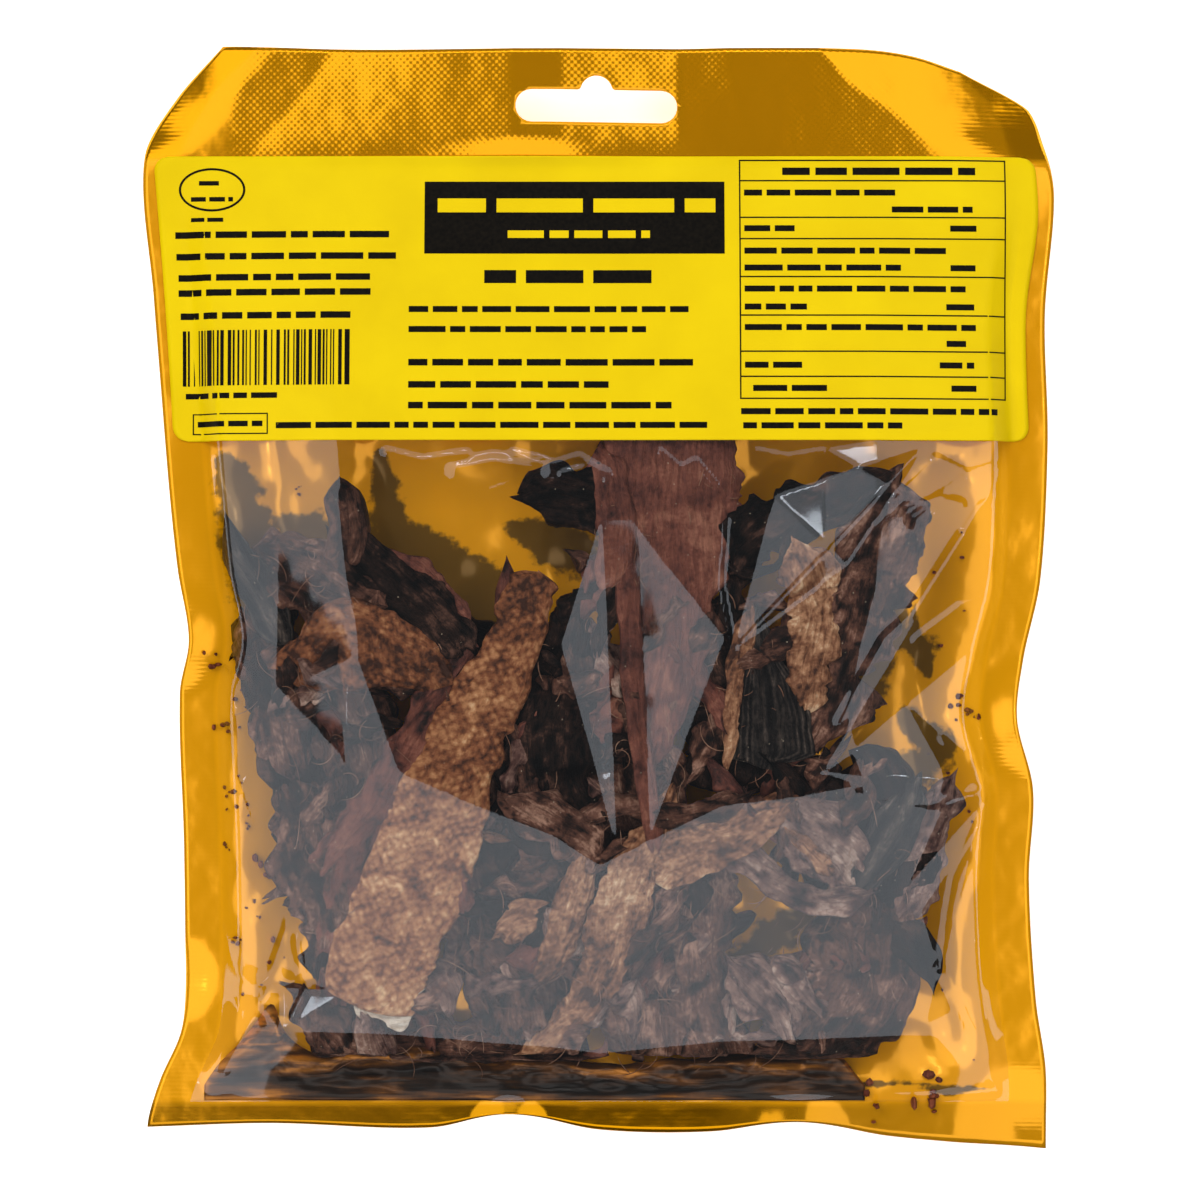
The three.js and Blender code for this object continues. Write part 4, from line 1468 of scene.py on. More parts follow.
# The pieces that can be told apart, with x, y, depth and width at each station of their paths.
FISH = (
    FishPiece(
        "long_skin", SKIN,
        ((-12.2, 5.5, 2, 10), (-16.4, -8.2, 2, 11.5), (-20.8, -18, 2, 14), (-27.5, -32, 2, 16.5),
         (-32.5, -44, 2, 19.5), (-37, -56, 2, 20.5), (-43.4, -70, 2, 20), (-46.6, -81.5, 2, 18)),
        crumple=0.35, ragged=0.5, torn=1.4, taper=(2, 1.5), step=0.4, seed=1,
        shift=(-0.4, 0.9),
    ),
    FishPiece(
        "skin_foot_rim", MEMBRANE,
        ((-49, -77.6, 2.8, 2), (-45, -79.6, 2.4, 4.5), (-41.6, -80.6, 2.4, 5.4), (-38, -79.8, 2.4, 5.4),
         (-35.2, -77.9, 2.8, 3)),
        thickness=1.6, crumple=0.5, ragged=1.9, torn=2.2, step=0.3, seed=51,
    ),
    FishPiece(
        "skin_head_flap", RED, ((-18.5, 6.5, 3, 2.5), (-18.4, 2, 2.6, 4), (-19.5, -4, 3, 3)),
        thickness=2.0, crumple=0.6, ragged=0.5, seed=53,
    ),
    FishPiece(
        "curl_hook", BLACK, ((-11.4, -10.2, 2.4, 1), (-9.4, -11.6, 2.2, 1.8), (-7.4, -13.4, 2.4, 1)),
        thickness=1.6, crumple=0.4, ragged=0.2, torn=0.4, taper=(1, 1), step=0.35, seed=55,
    ),
    FishPiece(
        "skin_edge", RED,
        ((-25.5, -8, 3, 4), (-34.7, -23, 3.4, 6), (-42.6, -38, 3.4, 7), (-49, -56, 3.4, 8),
         (-52, -72, 3.4, 9), (-52, -82, 3.4, 7)),
        thickness=2.6, crumple=0.8, ragged=0.8, seed=2,
    ),
    FishPiece(
        "skin_chunk", SKIN,
        ((-64, -13.5, 3, 6), (-58, -12, 3, 13), (-51, -9.3, 2.6, 18), (-45, -10, 2.6, 15),
         (-37.7, -12, 2.6, 12), (-29.5, -15.5, 3, 6)),
        thickness=3.6, ragged=0.9, torn=2.2, step=0.5, seed=3, shift=(-1.0, -0.6),
    ),
    FishPiece(
        "dark_ridge", BLACK,
        ((-53, 14, 2.4, 4), (-49, 11, 2.4, 7), (-43, 5.5, 2.4, 10), (-34.7, -2.5, 2.6, 11),
         (-25, -11, 3, 8)),
        thickness=5.0, crumple=1.0, taper=(5, 3), seed=4,
    ),
    FishPiece(
        "red_ridge", RED, ((-42, 10, 2.6, 2.5), (-35, 5, 2.0, 4.5), (-29, -2, 1.8, 5), (-24.5, -8, 2, 4)),
        thickness=2.6, ragged=0.5, crumple=0.4, seed=5,
    ),
    FishPiece(
        "round_finger", FLESH,
        ((-51.4, 24, 5, 5), (-50.6, 20, 4, 8.5), (-49.4, 13.7, 4, 8.5), (-51, 5, 5, 8)),
        thickness=6.0, ragged=0.3, crumple=0.4, torn=0.5, taper=(4, 3), seed=6,
    ),
    FishPiece(
        "slate_sliver", FIN,
        ((-74.3, 16.6, 3, 2.5), (-72.3, 9.7, 2.6, 6.5), (-67.9, 1.8, 2.6, 7.5), (-62, -9, 2.8, 6)),
        thickness=2.6, ragged=0.3, crumple=0.4, taper=(7, 3), seed=7,
    ),
    FishPiece(
        "upper_left", FLESH, ((-71, 8, 7, 10), (-63, 6, 6, 15), (-54, 2, 6, 16), (-44, -4, 6, 14)),
        thickness=5.0, ragged=1.3, crumple=1.6, seed=8,
    ),
    FishPiece(
        "upper_left_low", FLESH, ((-71, -2, 7, 9), (-66, -12, 6, 12), (-62, -24, 5, 12), (-59, -36, 5, 10)),
        thickness=5.0, ragged=1.3, crumple=1.6, seed=41,
    ),
    FishPiece(
        "pointed_grey", BLACK,
        ((-16.5, 20.5, 3, 4), (-11.5, 21.3, 3, 9.5), (-5, 20.3, 3, 12), (2, 19, 3, 13)),
        thickness=3.6, torn=3.5, seed=9,
    ),
    FishPiece(
        "big_leather", RED,
        ((14.4, 40, 3, 27), (14, 26, 2.4, 27), (13.6, 16, 2.2, 24), (14.2, 4, 2.2, 20),
         (13.6, -8, 2.4, 15), (12, -20, 2.6, 11), (11, -33, 3, 7)),
        thickness=3.2, crumple=1.1, ragged=0.9, seed=10, shift=(0.3, 0.0), grain=0.45,
    ),
    FishPiece(
        "leather_left", RED, ((1, 30, 3, 8), (2.5, 22, 2.4, 9), (3, 12, 2.4, 8), (2, 0, 4, 6)),
        ragged=0.6, crumple=0.6, seed=11, grain=0.5,
    ),
    FishPiece(
        "red_ribbon", RED,
        ((4.5, 24, 1.8, 5), (5.2, 10, 1.6, 5), (6, -5, 1.6, 4.6), (7.4, -24, 1.6, 4.6),
         (9.8, -40, 1.8, 4), (11.4, -50, 2, 3)),
        thickness=2.6, ragged=0.2, crumple=0.2, roll=(20, -10), seed=12, grain=0.5,
    ),
    FishPiece(
        "black_fan", FIN,
        ((31, -1, 2, 2), (32.3, -12, 1.8, 8), (33.5, -22, 1.8, 14.5), (34.3, -33, 2.2, 18)),
        thickness=2.2, ragged=0.3, crumple=0.3, torn=2.0, taper=(6, 1.5), step=0.5, seed=13,
    ),
    FishPiece(
        "mottled_skin", PALE,
        ((38, 12, 2.6, 5), (41, 5.5, 2.2, 12), (43, -3, 2.2, 12), (41.2, -13, 2.4, 9.5),
         (39.9, -23, 3, 5)),
        thickness=2.8, crumple=0.9, ragged=0.8, step=0.5, seed=14,
    ),
    FishPiece(
        "tan_ridge", PALE,
        ((29.6, -2, 2, 2.6), (27.6, -11, 1.6, 3.6), (25.8, -21, 1.6, 3.8), (25.2, -33, 2, 3)),
        thickness=2.6, ragged=0.4, crumple=0.3, seed=15,
    ),
    FishPiece(
        "right_mass", FLESH,
        ((59.5, 24.5, 3, 8), (57, 16, 3, 15), (53.4, 6, 3, 18), (50.2, -6, 3, 15), (47.4, -18, 3, 12),
         (44, -28, 3.4, 8)),
        thickness=5.0, crumple=1.6, ragged=1.5, torn=3.5, seed=16,
    ),
    FishPiece(
        "grey_sheet", BLACK,
        ((26, 6, 4, 9), (33, 13, 3.4, 13), (42.8, 18, 3.4, 10.5), (51, 22, 3.6, 7), (58, 25, 3.6, 3)),
        ragged=1.3, seed=17,
    ),
    FishPiece(
        "grey_seam", BLACK,
        ((25, 7, 1.7, 1.6), (29, 5, 1.7, 2.4), (34, 6.5, 1.7, 2.2), (40, 13.5, 1.7, 2.4),
         (48, 16, 1.7, 2.2), (56, 22, 1.7, 1.6)),
        thickness=1.8, crumple=0.3, ragged=0.4, seed=42,
    ),
    FishPiece(
        "slate_right", FIN, ((63, -35, 3, 5), (59, -43, 2.4, 9), (54.5, -51, 2.4, 9), (51, -57, 3, 6)),
        thickness=2.6, ragged=0.5, crumple=0.6, seed=18,
    ),
    FishPiece(
        "pink_right", PINK, ((70, -36, 4, 5), (67, -44, 3, 9), (63, -54, 3, 10), (60, -63, 3, 7)),
        ragged=0.8, seed=43,
    ),
    FishPiece(
        "curl_small", PALE, ((-21, -67.5, 3, 4), (-17, -64, 2.4, 7.5), (-10.8, -60.5, 2.8, 5.5)),
        thickness=2.4, ragged=0.4, crumple=0.6, step=0.45, seed=19,
    ),
    FishPiece(
        "curl_long", PALE,
        ((-2.6, -50, 2.6, 4), (-4.8, -57.5, 2, 7), (-7.5, -66, 2, 6.5), (-10.8, -72.5, 2, 5.5),
         (-15.2, -76.5, 2.2, 3.5)),
        thickness=2.4, ragged=0.4, crumple=0.6, cup=-0.6, step=0.45, seed=20,
    ),
    FishPiece(
        "fibrous_strip", PALE,
        ((14.6, -36, 1.6, 2.5), (10.4, -45, 1.6, 6.5), (5.6, -54, 1.6, 9.5), (2.8, -64, 1.6, 10),
         (1.1, -72, 1.8, 9.5), (-2.9, -80, 2, 7.5), (-9.8, -87, 2.2, 4.5), (-16.5, -92.5, 3, 2)),
        thickness=2.6, ragged=0.6, crumple=0.5, step=0.5, seed=21,
    ),
    FishPiece(
        "pale_band", PALE,
        ((9, -53, 3, 9), (14, -51, 2.2, 12), (20, -48.5, 2, 11.5), (26, -46.5, 2, 9), (32, -43, 2.2, 7.5),
         (38.5, -39.5, 3, 5)),
        thickness=2.6, crumple=0.5, ragged=0.4, step=0.5, seed=22,
    ),
    FishPiece(
        "olive_edge", FLESH, ((10, -42.5, 2.6, 4), (16, -42.5, 2, 6), (23, -41, 2, 5), (29, -38, 2.6, 3)),
        thickness=2.6, crumple=0.6, ragged=0.6, seed=44,
    ),
    FishPiece(
        "twisted_band", PINK,
        ((22, -49.5, 2.6, 4), (28, -51, 2, 5.5), (34, -55, 2, 6.5), (41, -59, 2.2, 6.5),
         (48, -59.5, 2.2, 6), (54, -58, 2.6, 3.5)),
        thickness=3.6, crumple=0.8, ragged=0.6, seed=23,
    ),
    FishPiece(
        "twisted_upper", PINK, ((34, -41, 3.4, 8), (40, -44.5, 3, 14), (47, -50, 3, 15), (53, -57, 3.4, 7)),
        thickness=4.0, crumple=1.6, seed=24,
    ),
    FishPiece(
        "twisted_ridge", PALE, ((37, -45, 1.9, 3), (41, -49, 1.7, 4.5), (46, -54, 1.9, 4)),
        thickness=2.4, ragged=0.6, seed=45,
    ),
    FishPiece(
        "low_pink", PINK,
        ((25.5, -70.5, 3, 4), (29.5, -75, 2.4, 10), (34, -80, 2.4, 12), (37.5, -86, 2.8, 9)),
        thickness=3.6, crumple=1.4, ragged=1.2, torn=3.5, seed=25,
    ),
    FishPiece(
        "round_lump", PINK, ((34, -71, 2.6, 5), (37, -73, 2.2, 6.5), (40.5, -75.5, 2.8, 4)),
        thickness=4.0, crumple=0.4, ragged=0.3, torn=0.4, seed=46,
    ),
    FishPiece(
        "dark_triangle", BLACK,
        ((57.6, -63.8, 2.4, 4), (60.7, -66.8, 2, 8), (64.1, -70.5, 2, 7), (65.7, -74.5, 2, 4.5),
         (66.4, -78, 2.2, 1.6)),
        thickness=2.4, ragged=0.3, crumple=0.5, torn=1.0, seed=26,
    ),
    FishPiece(
        "right_low_mass", FLESH,
        ((56, -60, 4, 9), (54.5, -68, 3.6, 16), (53, -76, 3.4, 20), (49, -83, 3.4, 20), (43, -90, 4, 13)),
        thickness=5.0, crumple=1.6, ragged=1.5, torn=3.0, seed=27,
    ),
    FishPiece(
        "black_fibres", BLACK,
        ((-3.9, 0, 7, 8), (-8, -14, 6, 16), (-11, -27, 5, 20), (-9, -40, 5, 20), (-3, -50, 5, 12)),
        thickness=6.0, crumple=2.0, ragged=1.4, seed=28,
    ),
    FishPiece(
        "brown_knob", FLESH,
        ((-18, -38.5, 3.4, 6), (-12, -42, 2.6, 10), (-5, -46, 2.6, 10), (2, -51, 3.4, 6)),
        thickness=5.0, ragged=0.9, seed=29,
    ),
    FishPiece(
        "left_flap", RED,
        ((-40.5, -32, 3.2, 5), (-44.5, -39, 2.8, 8), (-50.6, -47.5, 2.8, 8.5), (-56, -56, 3.2, 7)),
        thickness=2.8, seed=47,
    ),
    FishPiece(
        "left_lumps", FLESH, ((-62, -36, 4, 10), (-58, -50, 3.4, 14), (-54, -62, 3.4, 13), (-55, -73, 4, 8)),
        thickness=5.0, crumple=2.0, ragged=1.4, seed=48,
    ),
    FishPiece(
        "low_left_pink", PINK, ((-46.5, -82, 3.6, 5), (-45, -86, 2.6, 7.5), (-43, -92, 3, 6.5)),
        thickness=4.0, crumple=0.8, ragged=0.6, seed=49,
    ),
    FishPiece(
        "low_left_flesh", FLESH, ((-58, -78, 4, 8), (-55, -84, 3, 11), (-50, -91, 3.4, 9)),
        thickness=4.0, crumple=1.4, seed=50,
    ),
)  # fmt: skip

# Plain dark pieces under them, which Filling makes thicker and coarser.
BED = (
    FishPiece(
        "bed_far_left", BLACK,
        ((-70, -2, 9, 8), (-65, -18, 9, 10), (-59, -38, 8, 13), (-54, -58, 8, 11), (-55, -76, 7, 9)),
    ),
    FishPiece(
        "bed_left", FLESH,
        ((-56, -12, 10, 20), (-49, -34, 11, 26), (-45, -58, 10, 24), (-46, -82, 7, 20)),
    ),
    FishPiece(
        "bed_low_left", FLESH,
        ((-58, -88, 5, 8), (-44, -90, 6, 14), (-20, -91, 7, 16), (-2, -92, 7, 14)),
    ),
    FishPiece(
        "bed_centre", FLESH,
        ((-26, -30, 11, 24), (-20, -54, 11, 28), (-14, -76, 9, 26), (-12, -90, 6, 20)),
    ),
    FishPiece(
        "bed_right_centre", FLESH,
        ((-2, -28, 12, 20), (4, -52, 12, 26), (10, -72, 9, 22), (12, -92, 6, 22)),
    ),
    FishPiece(
        "bed_right", FLESH,
        ((20, -40, 9, 18), (19, -58, 8, 16), (20, -76, 7, 11), (24, -92, 5, 18)),
    ),
    FishPiece(
        "bed_far_right", FLESH,
        ((46, -62, 8, 14), (50, -74, 7, 20), (40, -90, 5, 22)),
    ),
    FishPiece(
        "bed_low_right", FLESH,
        ((30, -92, 4, 10), (40, -91, 4, 12), (54, -88, 4, 8)),
    ),
    FishPiece(
        "bed_fan", BLACK,
        ((22, 0, 9, 16), (28, -20, 9, 26), (30, -38, 9, 26)),
    ),
    FishPiece(
        "bed_top_left", BLACK,
        ((-48, -2, 9, 12), (-34, -8, 9, 18), (-18, -16, 9, 20), (-6, -26, 9, 18)),
    ),
    FishPiece(
        "bed_mid_right", BLACK,
        ((50, -32, 8, 18), (57, -46, 8, 20), (58, -60, 7, 16)),
    ),
)  # fmt: skip


def inside(outline: Stations, x: float, y: float) -> bool:
    """Tells whether a point is inside a closed outline, by counting the sides to its right.

    Args:
        outline: its corners, in order.
        x: the point's place across.
        y: its place up.

    Returns:
        Whether it is inside.
    """
    corners = np.array(outline)
    following = np.roll(corners, -1, axis=0)
    spans = (corners[:, 1] > y) != (following[:, 1] > y)
    rise = np.where(spans, following[:, 1] - corners[:, 1], 1.0)
    at = corners[:, 0] + (y - corners[:, 1]) / rise * (following[:, 0] - corners[:, 0])
    return bool(np.count_nonzero(spans & (at > x)) % 2)


@dataclass(frozen=True)
class Scraps:
    """Small torn scraps between the named pieces, each from a seeded draw.

    They stay inside the outline and out of the gaps, each a place and a radius, where foil shows.
    Darker kinds are likelier above upper_start, and paler and pink ones below it.
    """

    count: int = 150
    outline: Stations = (
        (-70, 4), (-54, 6), (-40, -4), (-20, -14), (-8, -6), (-2, 10), (24, 6), (34, -6), (46, -30),
        (56, -34), (62, -56), (62, -70), (50, -88), (10, -93), (-58, -92), (-58, -78), (-58, -60),
        (-64, -36), (-68, -18),
    )  # fmt: skip
    gaps: tuple[tuple[float, float, float], ...] = ((39, -64, 9), (26, -79, 5), (-8, -12, 4))
    across: tuple[float, float] = (-74, 64)
    up: tuple[float, float] = (-93, 8)
    length: tuple[float, float] = (6, 22)
    width: tuple[float, float] = (2.5, 7.5)
    depth: tuple[float, float] = (2.8, 6.5)
    upper_start: float = -42.0
    kinds: tuple[Tissue, ...] = (FLESH, BLACK, RED, PINK, PALE)
    lower_shares: tuple[float, ...] = (0.4, 0.1, 0.18, 0.27, 0.05)
    upper_shares: tuple[float, ...] = (0.38, 0.32, 0.18, 0.09, 0.03)

    def pieces(self) -> tuple[FishPiece, ...]:
        """Draws place, heading, size, depth and tissue of every scrap.

        Returns:
            The scraps, each a piece with a path of four stations.
        """
        rng = np.random.default_rng(23)
        made: list[FishPiece] = []
        while len(made) < self.count:
            x, y = rng.uniform(*self.across), rng.uniform(*self.up)
            apart = all(math.hypot(x - gx, y - gy) > gap for gx, gy, gap in self.gaps)
            if not inside(self.outline, x, y) or not apart:
                continue
            heading = rng.normal(math.radians(-105), math.radians(38))
            bow = rng.uniform(-0.5, 0.5)
            long, wide = rng.uniform(*self.length), rng.uniform(*self.width)
            depth = rng.uniform(*self.depth)
            places = []
            for share in (-0.5, -0.17, 0.17, 0.5):
                angle = heading + bow * share
                width = wide * (1.0 - 1.2 * share * share)
                lean = depth + rng.uniform(-1.0, 1.0)
                px, py = x + long * share * math.cos(angle), y + long * share * math.sin(angle)
                places.append((px, py, lean, width))
            shares = self.lower_shares if y < self.upper_start else self.upper_shares
            tissue = rng.choice(list(self.kinds), p=shares)
            made.append(
                FishPiece(
                    f"scrap_{len(made)}", Tissue(tissue), tuple(places), thickness=rng.uniform(2, 4),
                    crumple=rng.uniform(0.8, 2.2), ragged=1.3,
                    roll=(rng.uniform(-35, 35), rng.uniform(-35, 35)), step=0.6, seed=100 + len(made),
                )
            )  # fmt: skip
        return tuple(made)


TISSUE_FINISHES = {
    Tissue.SKIN: DriedTissue(
        "dried_scaled_skin", "#331A0E", "#744327", "#A3714A", "#CFA87E", relief=0.22, streak=0.15,
        blotch=0.95, cells=0.1, grains=0.3, gloss=0.2,
    ),
    Tissue.PALE_SKIN: DriedTissue(
        "dried_pale_skin", "#331B10", "#70472F", "#9F7454", "#CDAE8C", relief=0.3, streak=0.7,
        blotch=0.8, cells=0.08, grains=0.3, gloss=0.2,
    ),
    Tissue.MEMBRANE: DriedTissue("dried_white_membrane", "#7C6654", "#B3A08C", "#D8CDBE", "#EFE8DE"),
    Tissue.FLESH: DriedTissue(
        "dried_brown_flesh", "#080504", "#26150F", "#5C3B2E", "#9A7562", blotch=0.8,
    ),
    Tissue.RED_FLESH: DriedTissue(
        "dried_red_flesh", "#160A08", "#4A261E", "#6C3C2E", "#8E5C48", streak=0.34, blotch=0.7, gloss=0.25,
    ),
    Tissue.PINK_FLESH: DriedTissue(
        "dried_pink_flesh", "#140B09", "#4A302A", "#7A5C50", "#B29888", blotch=0.8,
    ),
    Tissue.BLACK_FLESH: DriedTissue(
        "dried_dark_flesh", "#020202", "#080504", "#221510", "#553A2F", blotch=0.8, gloss=0.08,
    ),
    Tissue.FIN: DriedTissue(
        "dried_fin", "#050505", "#141110", "#38302B", "#6E5F54", relief=0.22, streak=0.6, roughness=0.42,
        gloss=0.1,
    ),
}  # fmt: skip

TISSUE_SLOTS = {
    Tissue.SKIN: "dried_skin",
    Tissue.PALE_SKIN: "dried_skin",
    Tissue.FIN: "dried_skin",
    Tissue.MEMBRANE: "dried_skin",
}


@dataclass(frozen=True)
class Filling:
    """All the fish in the pouch: the named pieces, the bed under them and the scraps between."""

    pieces: tuple[FishPiece, ...] = FISH
    bed: tuple[FishPiece, ...] = BED
    scraps: Scraps = Scraps()

    def build(self) -> list[tuple[bpy.types.Object, str]]:
        """Makes every fish piece, with the scraps of each tissue joined in one.

        Returns:
            Each piece with the record's slot for its finish.
        """
        finishes = {tissue: finish.build() for tissue, finish in TISSUE_FINISHES.items()}
        made = []
        for part in self.pieces:
            piece = part.shape().piece(f"fish_{part.name}", finishes[part.tissue])
            made.append((piece, TISSUE_SLOTS.get(part.tissue, "dried_flesh")))
        for number, part in enumerate(self.bed):
            part = replace(part, thickness=7.0, crumple=2.4, ragged=0.9, step=0.9, seed=60 + number)
            piece = part.shape().piece(f"fish_{part.name}", finishes[part.tissue])
            made.append((piece, "dried_flesh"))
        scraps = self.scraps.pieces()
        for tissue in Tissue:
            shapes = [part.shape() for part in scraps if part.tissue is tissue]
            if shapes:
                piece = Shape.joined(shapes).piece(f"fish_scraps_{tissue.value}", finishes[tissue])
                made.append((piece, TISSUE_SLOTS.get(tissue, "dried_flesh")))
        return made


@dataclass(frozen=True)
class Strands:
    """Frayed fibres of the flesh, pressed between the pieces and the film, joined in one mesh."""

    name: str = "flesh_strands"
    count: int = 420
    across: tuple[float, float] = (-72, 64)
    up: tuple[float, float] = (-93, 28)
    length: tuple[float, float] = (2.0, 9.0)
    thickness: tuple[float, float] = (0.05, 0.1)

    def build(self, finish: bpy.types.Material) -> bpy.types.Object:
        """Makes the fibres: thin tubes that bow at random, thinnest at both ends.

        Args:
            finish: their material.

        Returns:
            The piece.
        """
        rng = np.random.default_rng(37)
        share = np.linspace(-0.5, 0.5, 10)
        turn = np.linspace(0.0, TAU, 4, endpoint=False)
        outline = Scraps().outline + ((-71, 10), (-40, 12))
        shapes: list[Shape] = []
        while len(shapes) < self.count:
            x, y = rng.uniform(*self.across), rng.uniform(*self.up)
            leather = 1.0 < x < 26.0 and y > -20.0
            if not leather and not inside(outline, x, y):
                continue
            heading, bow = rng.normal(math.radians(-100), 0.8), rng.normal(0.0, 1.6)
            long, thick = rng.uniform(*self.length), rng.uniform(*self.thickness)
            angle = heading + bow * share
            step = long / len(share)
            px, py = x + np.cumsum(np.cos(angle)) * step, y + np.cumsum(np.sin(angle)) * step
            depth = rng.uniform(0.9, 2.2) + 0.5 * np.sin(6.0 * share + bow)
            line = stack(px, py, FORM.film(px, py) - depth)[:, None, :]
            radius = (thick * np.sqrt(np.clip(1.0 - (2.0 * share) ** 2, 0.08, 1.0)))[:, None]
            over = stack(radius * -np.sin(angle)[:, None] * np.cos(turn), 0.0 * radius, 0.0 * radius)
            over[..., 1] = radius * np.cos(angle)[:, None] * np.cos(turn)
            over[..., 2] = radius * np.sin(turn)
            flat = np.zeros(over.shape[:2])
            values = {"along": flat + 5.0 * len(shapes), "across": flat, "relief": flat}
            shapes.append(closed_tube(line + over, values))
        return Shape.joined(shapes).piece(self.name, finish)


@dataclass(frozen=True)
class Crumbs:
    """Small crumbs of dried fish that have fallen to the film's edges, joined in one mesh.

    A few lie round each place, which has a radius, and more are scattered along both sides.
    """

    name: str = "crumbs"
    places: tuple[tuple[float, float, float], ...] = (
        (-76.6, -13, 0.9), (-75, -26.2, 1.0), (-72.6, -36.4, 0.9), (-73.6, -39.8, 0.8),
        (-71, -44, 0.7), (-74.5, -50, 0.7), (-68.6, -53, 1.1), (-69.6, -62, 0.6), (-72, -68, 0.7),
        (-66, -71, 0.8), (54, -99, 1.6), (64.5, -99, 1.8), (67.5, -98.4, 1.3), (71, -22, 0.9),
        (73.8, -22.8, 0.7), (75.4, -23.2, 0.6), (-30.6, -83.6, 1.2), (60, 12, 0.4), (57, 16, 0.4),
        (-60, 22, 0.4),
    )  # fmt: skip
    beside_each: int = 4
    scattered: int = 26
    up: tuple[float, float] = (-97.0, 20.0)

    def build(self, finish: bpy.types.Material) -> bpy.types.Object:
        """Makes the crumbs: small closed blobs, each pushed out of round by noise.

        Args:
            finish: their material.

        Returns:
            The piece.
        """
        rng = np.random.default_rng(11)
        spots = []
        for x, y, radius in self.places:
            for _ in range(self.beside_each):
                moved_x, moved_y = radius * rng.normal(0.0, 1.3), radius * rng.normal(0.0, 1.6)
                spots.append((x + moved_x, y + moved_y, radius * rng.uniform(0.3, 0.75)))
        for _ in range(self.scattered):
            y = rng.uniform(*self.up)
            near_left = rng.random() < 0.6
            inset = rng.exponential(6.0) + 3.5
            edge = float(FORM.left(np.array(y)) + inset if near_left else FORM.right(np.array(y)) - inset)
            spots.append((edge, y, rng.uniform(0.2, 0.55)))
        turn = np.linspace(0.0, TAU, 8, endpoint=False)[None, :]
        tilt = np.linspace(0.3, math.pi - 0.3, 6)[:, None]
        ball = stack(np.sin(tilt) * np.cos(turn), np.sin(tilt) * np.sin(turn), np.cos(tilt) + 0 * turn)
        shapes = []
        for number, (x, y, radius) in enumerate(spots):
            stretch = rng.uniform(0.6, 1.3, 3)
            lumps = 1.0 + 0.35 * noise(ball + 7.0 * number, 0.8, number)
            rings = ball * lumps[..., None] * radius * stretch
            floor = float(FORM.tray(np.array(x), np.array(y))) + FORM.foil
            rings = rings + np.array([x, y, floor - rings[..., 2].min()])
            flat = np.zeros(rings.shape[:2])
            values = {"along": flat + 3.0 * number, "across": rings[..., 0], "relief": flat}
            shapes.append(closed_tube(rings, values))
        return Shape.joined(shapes).piece(self.name, finish)


# ---- Label ----


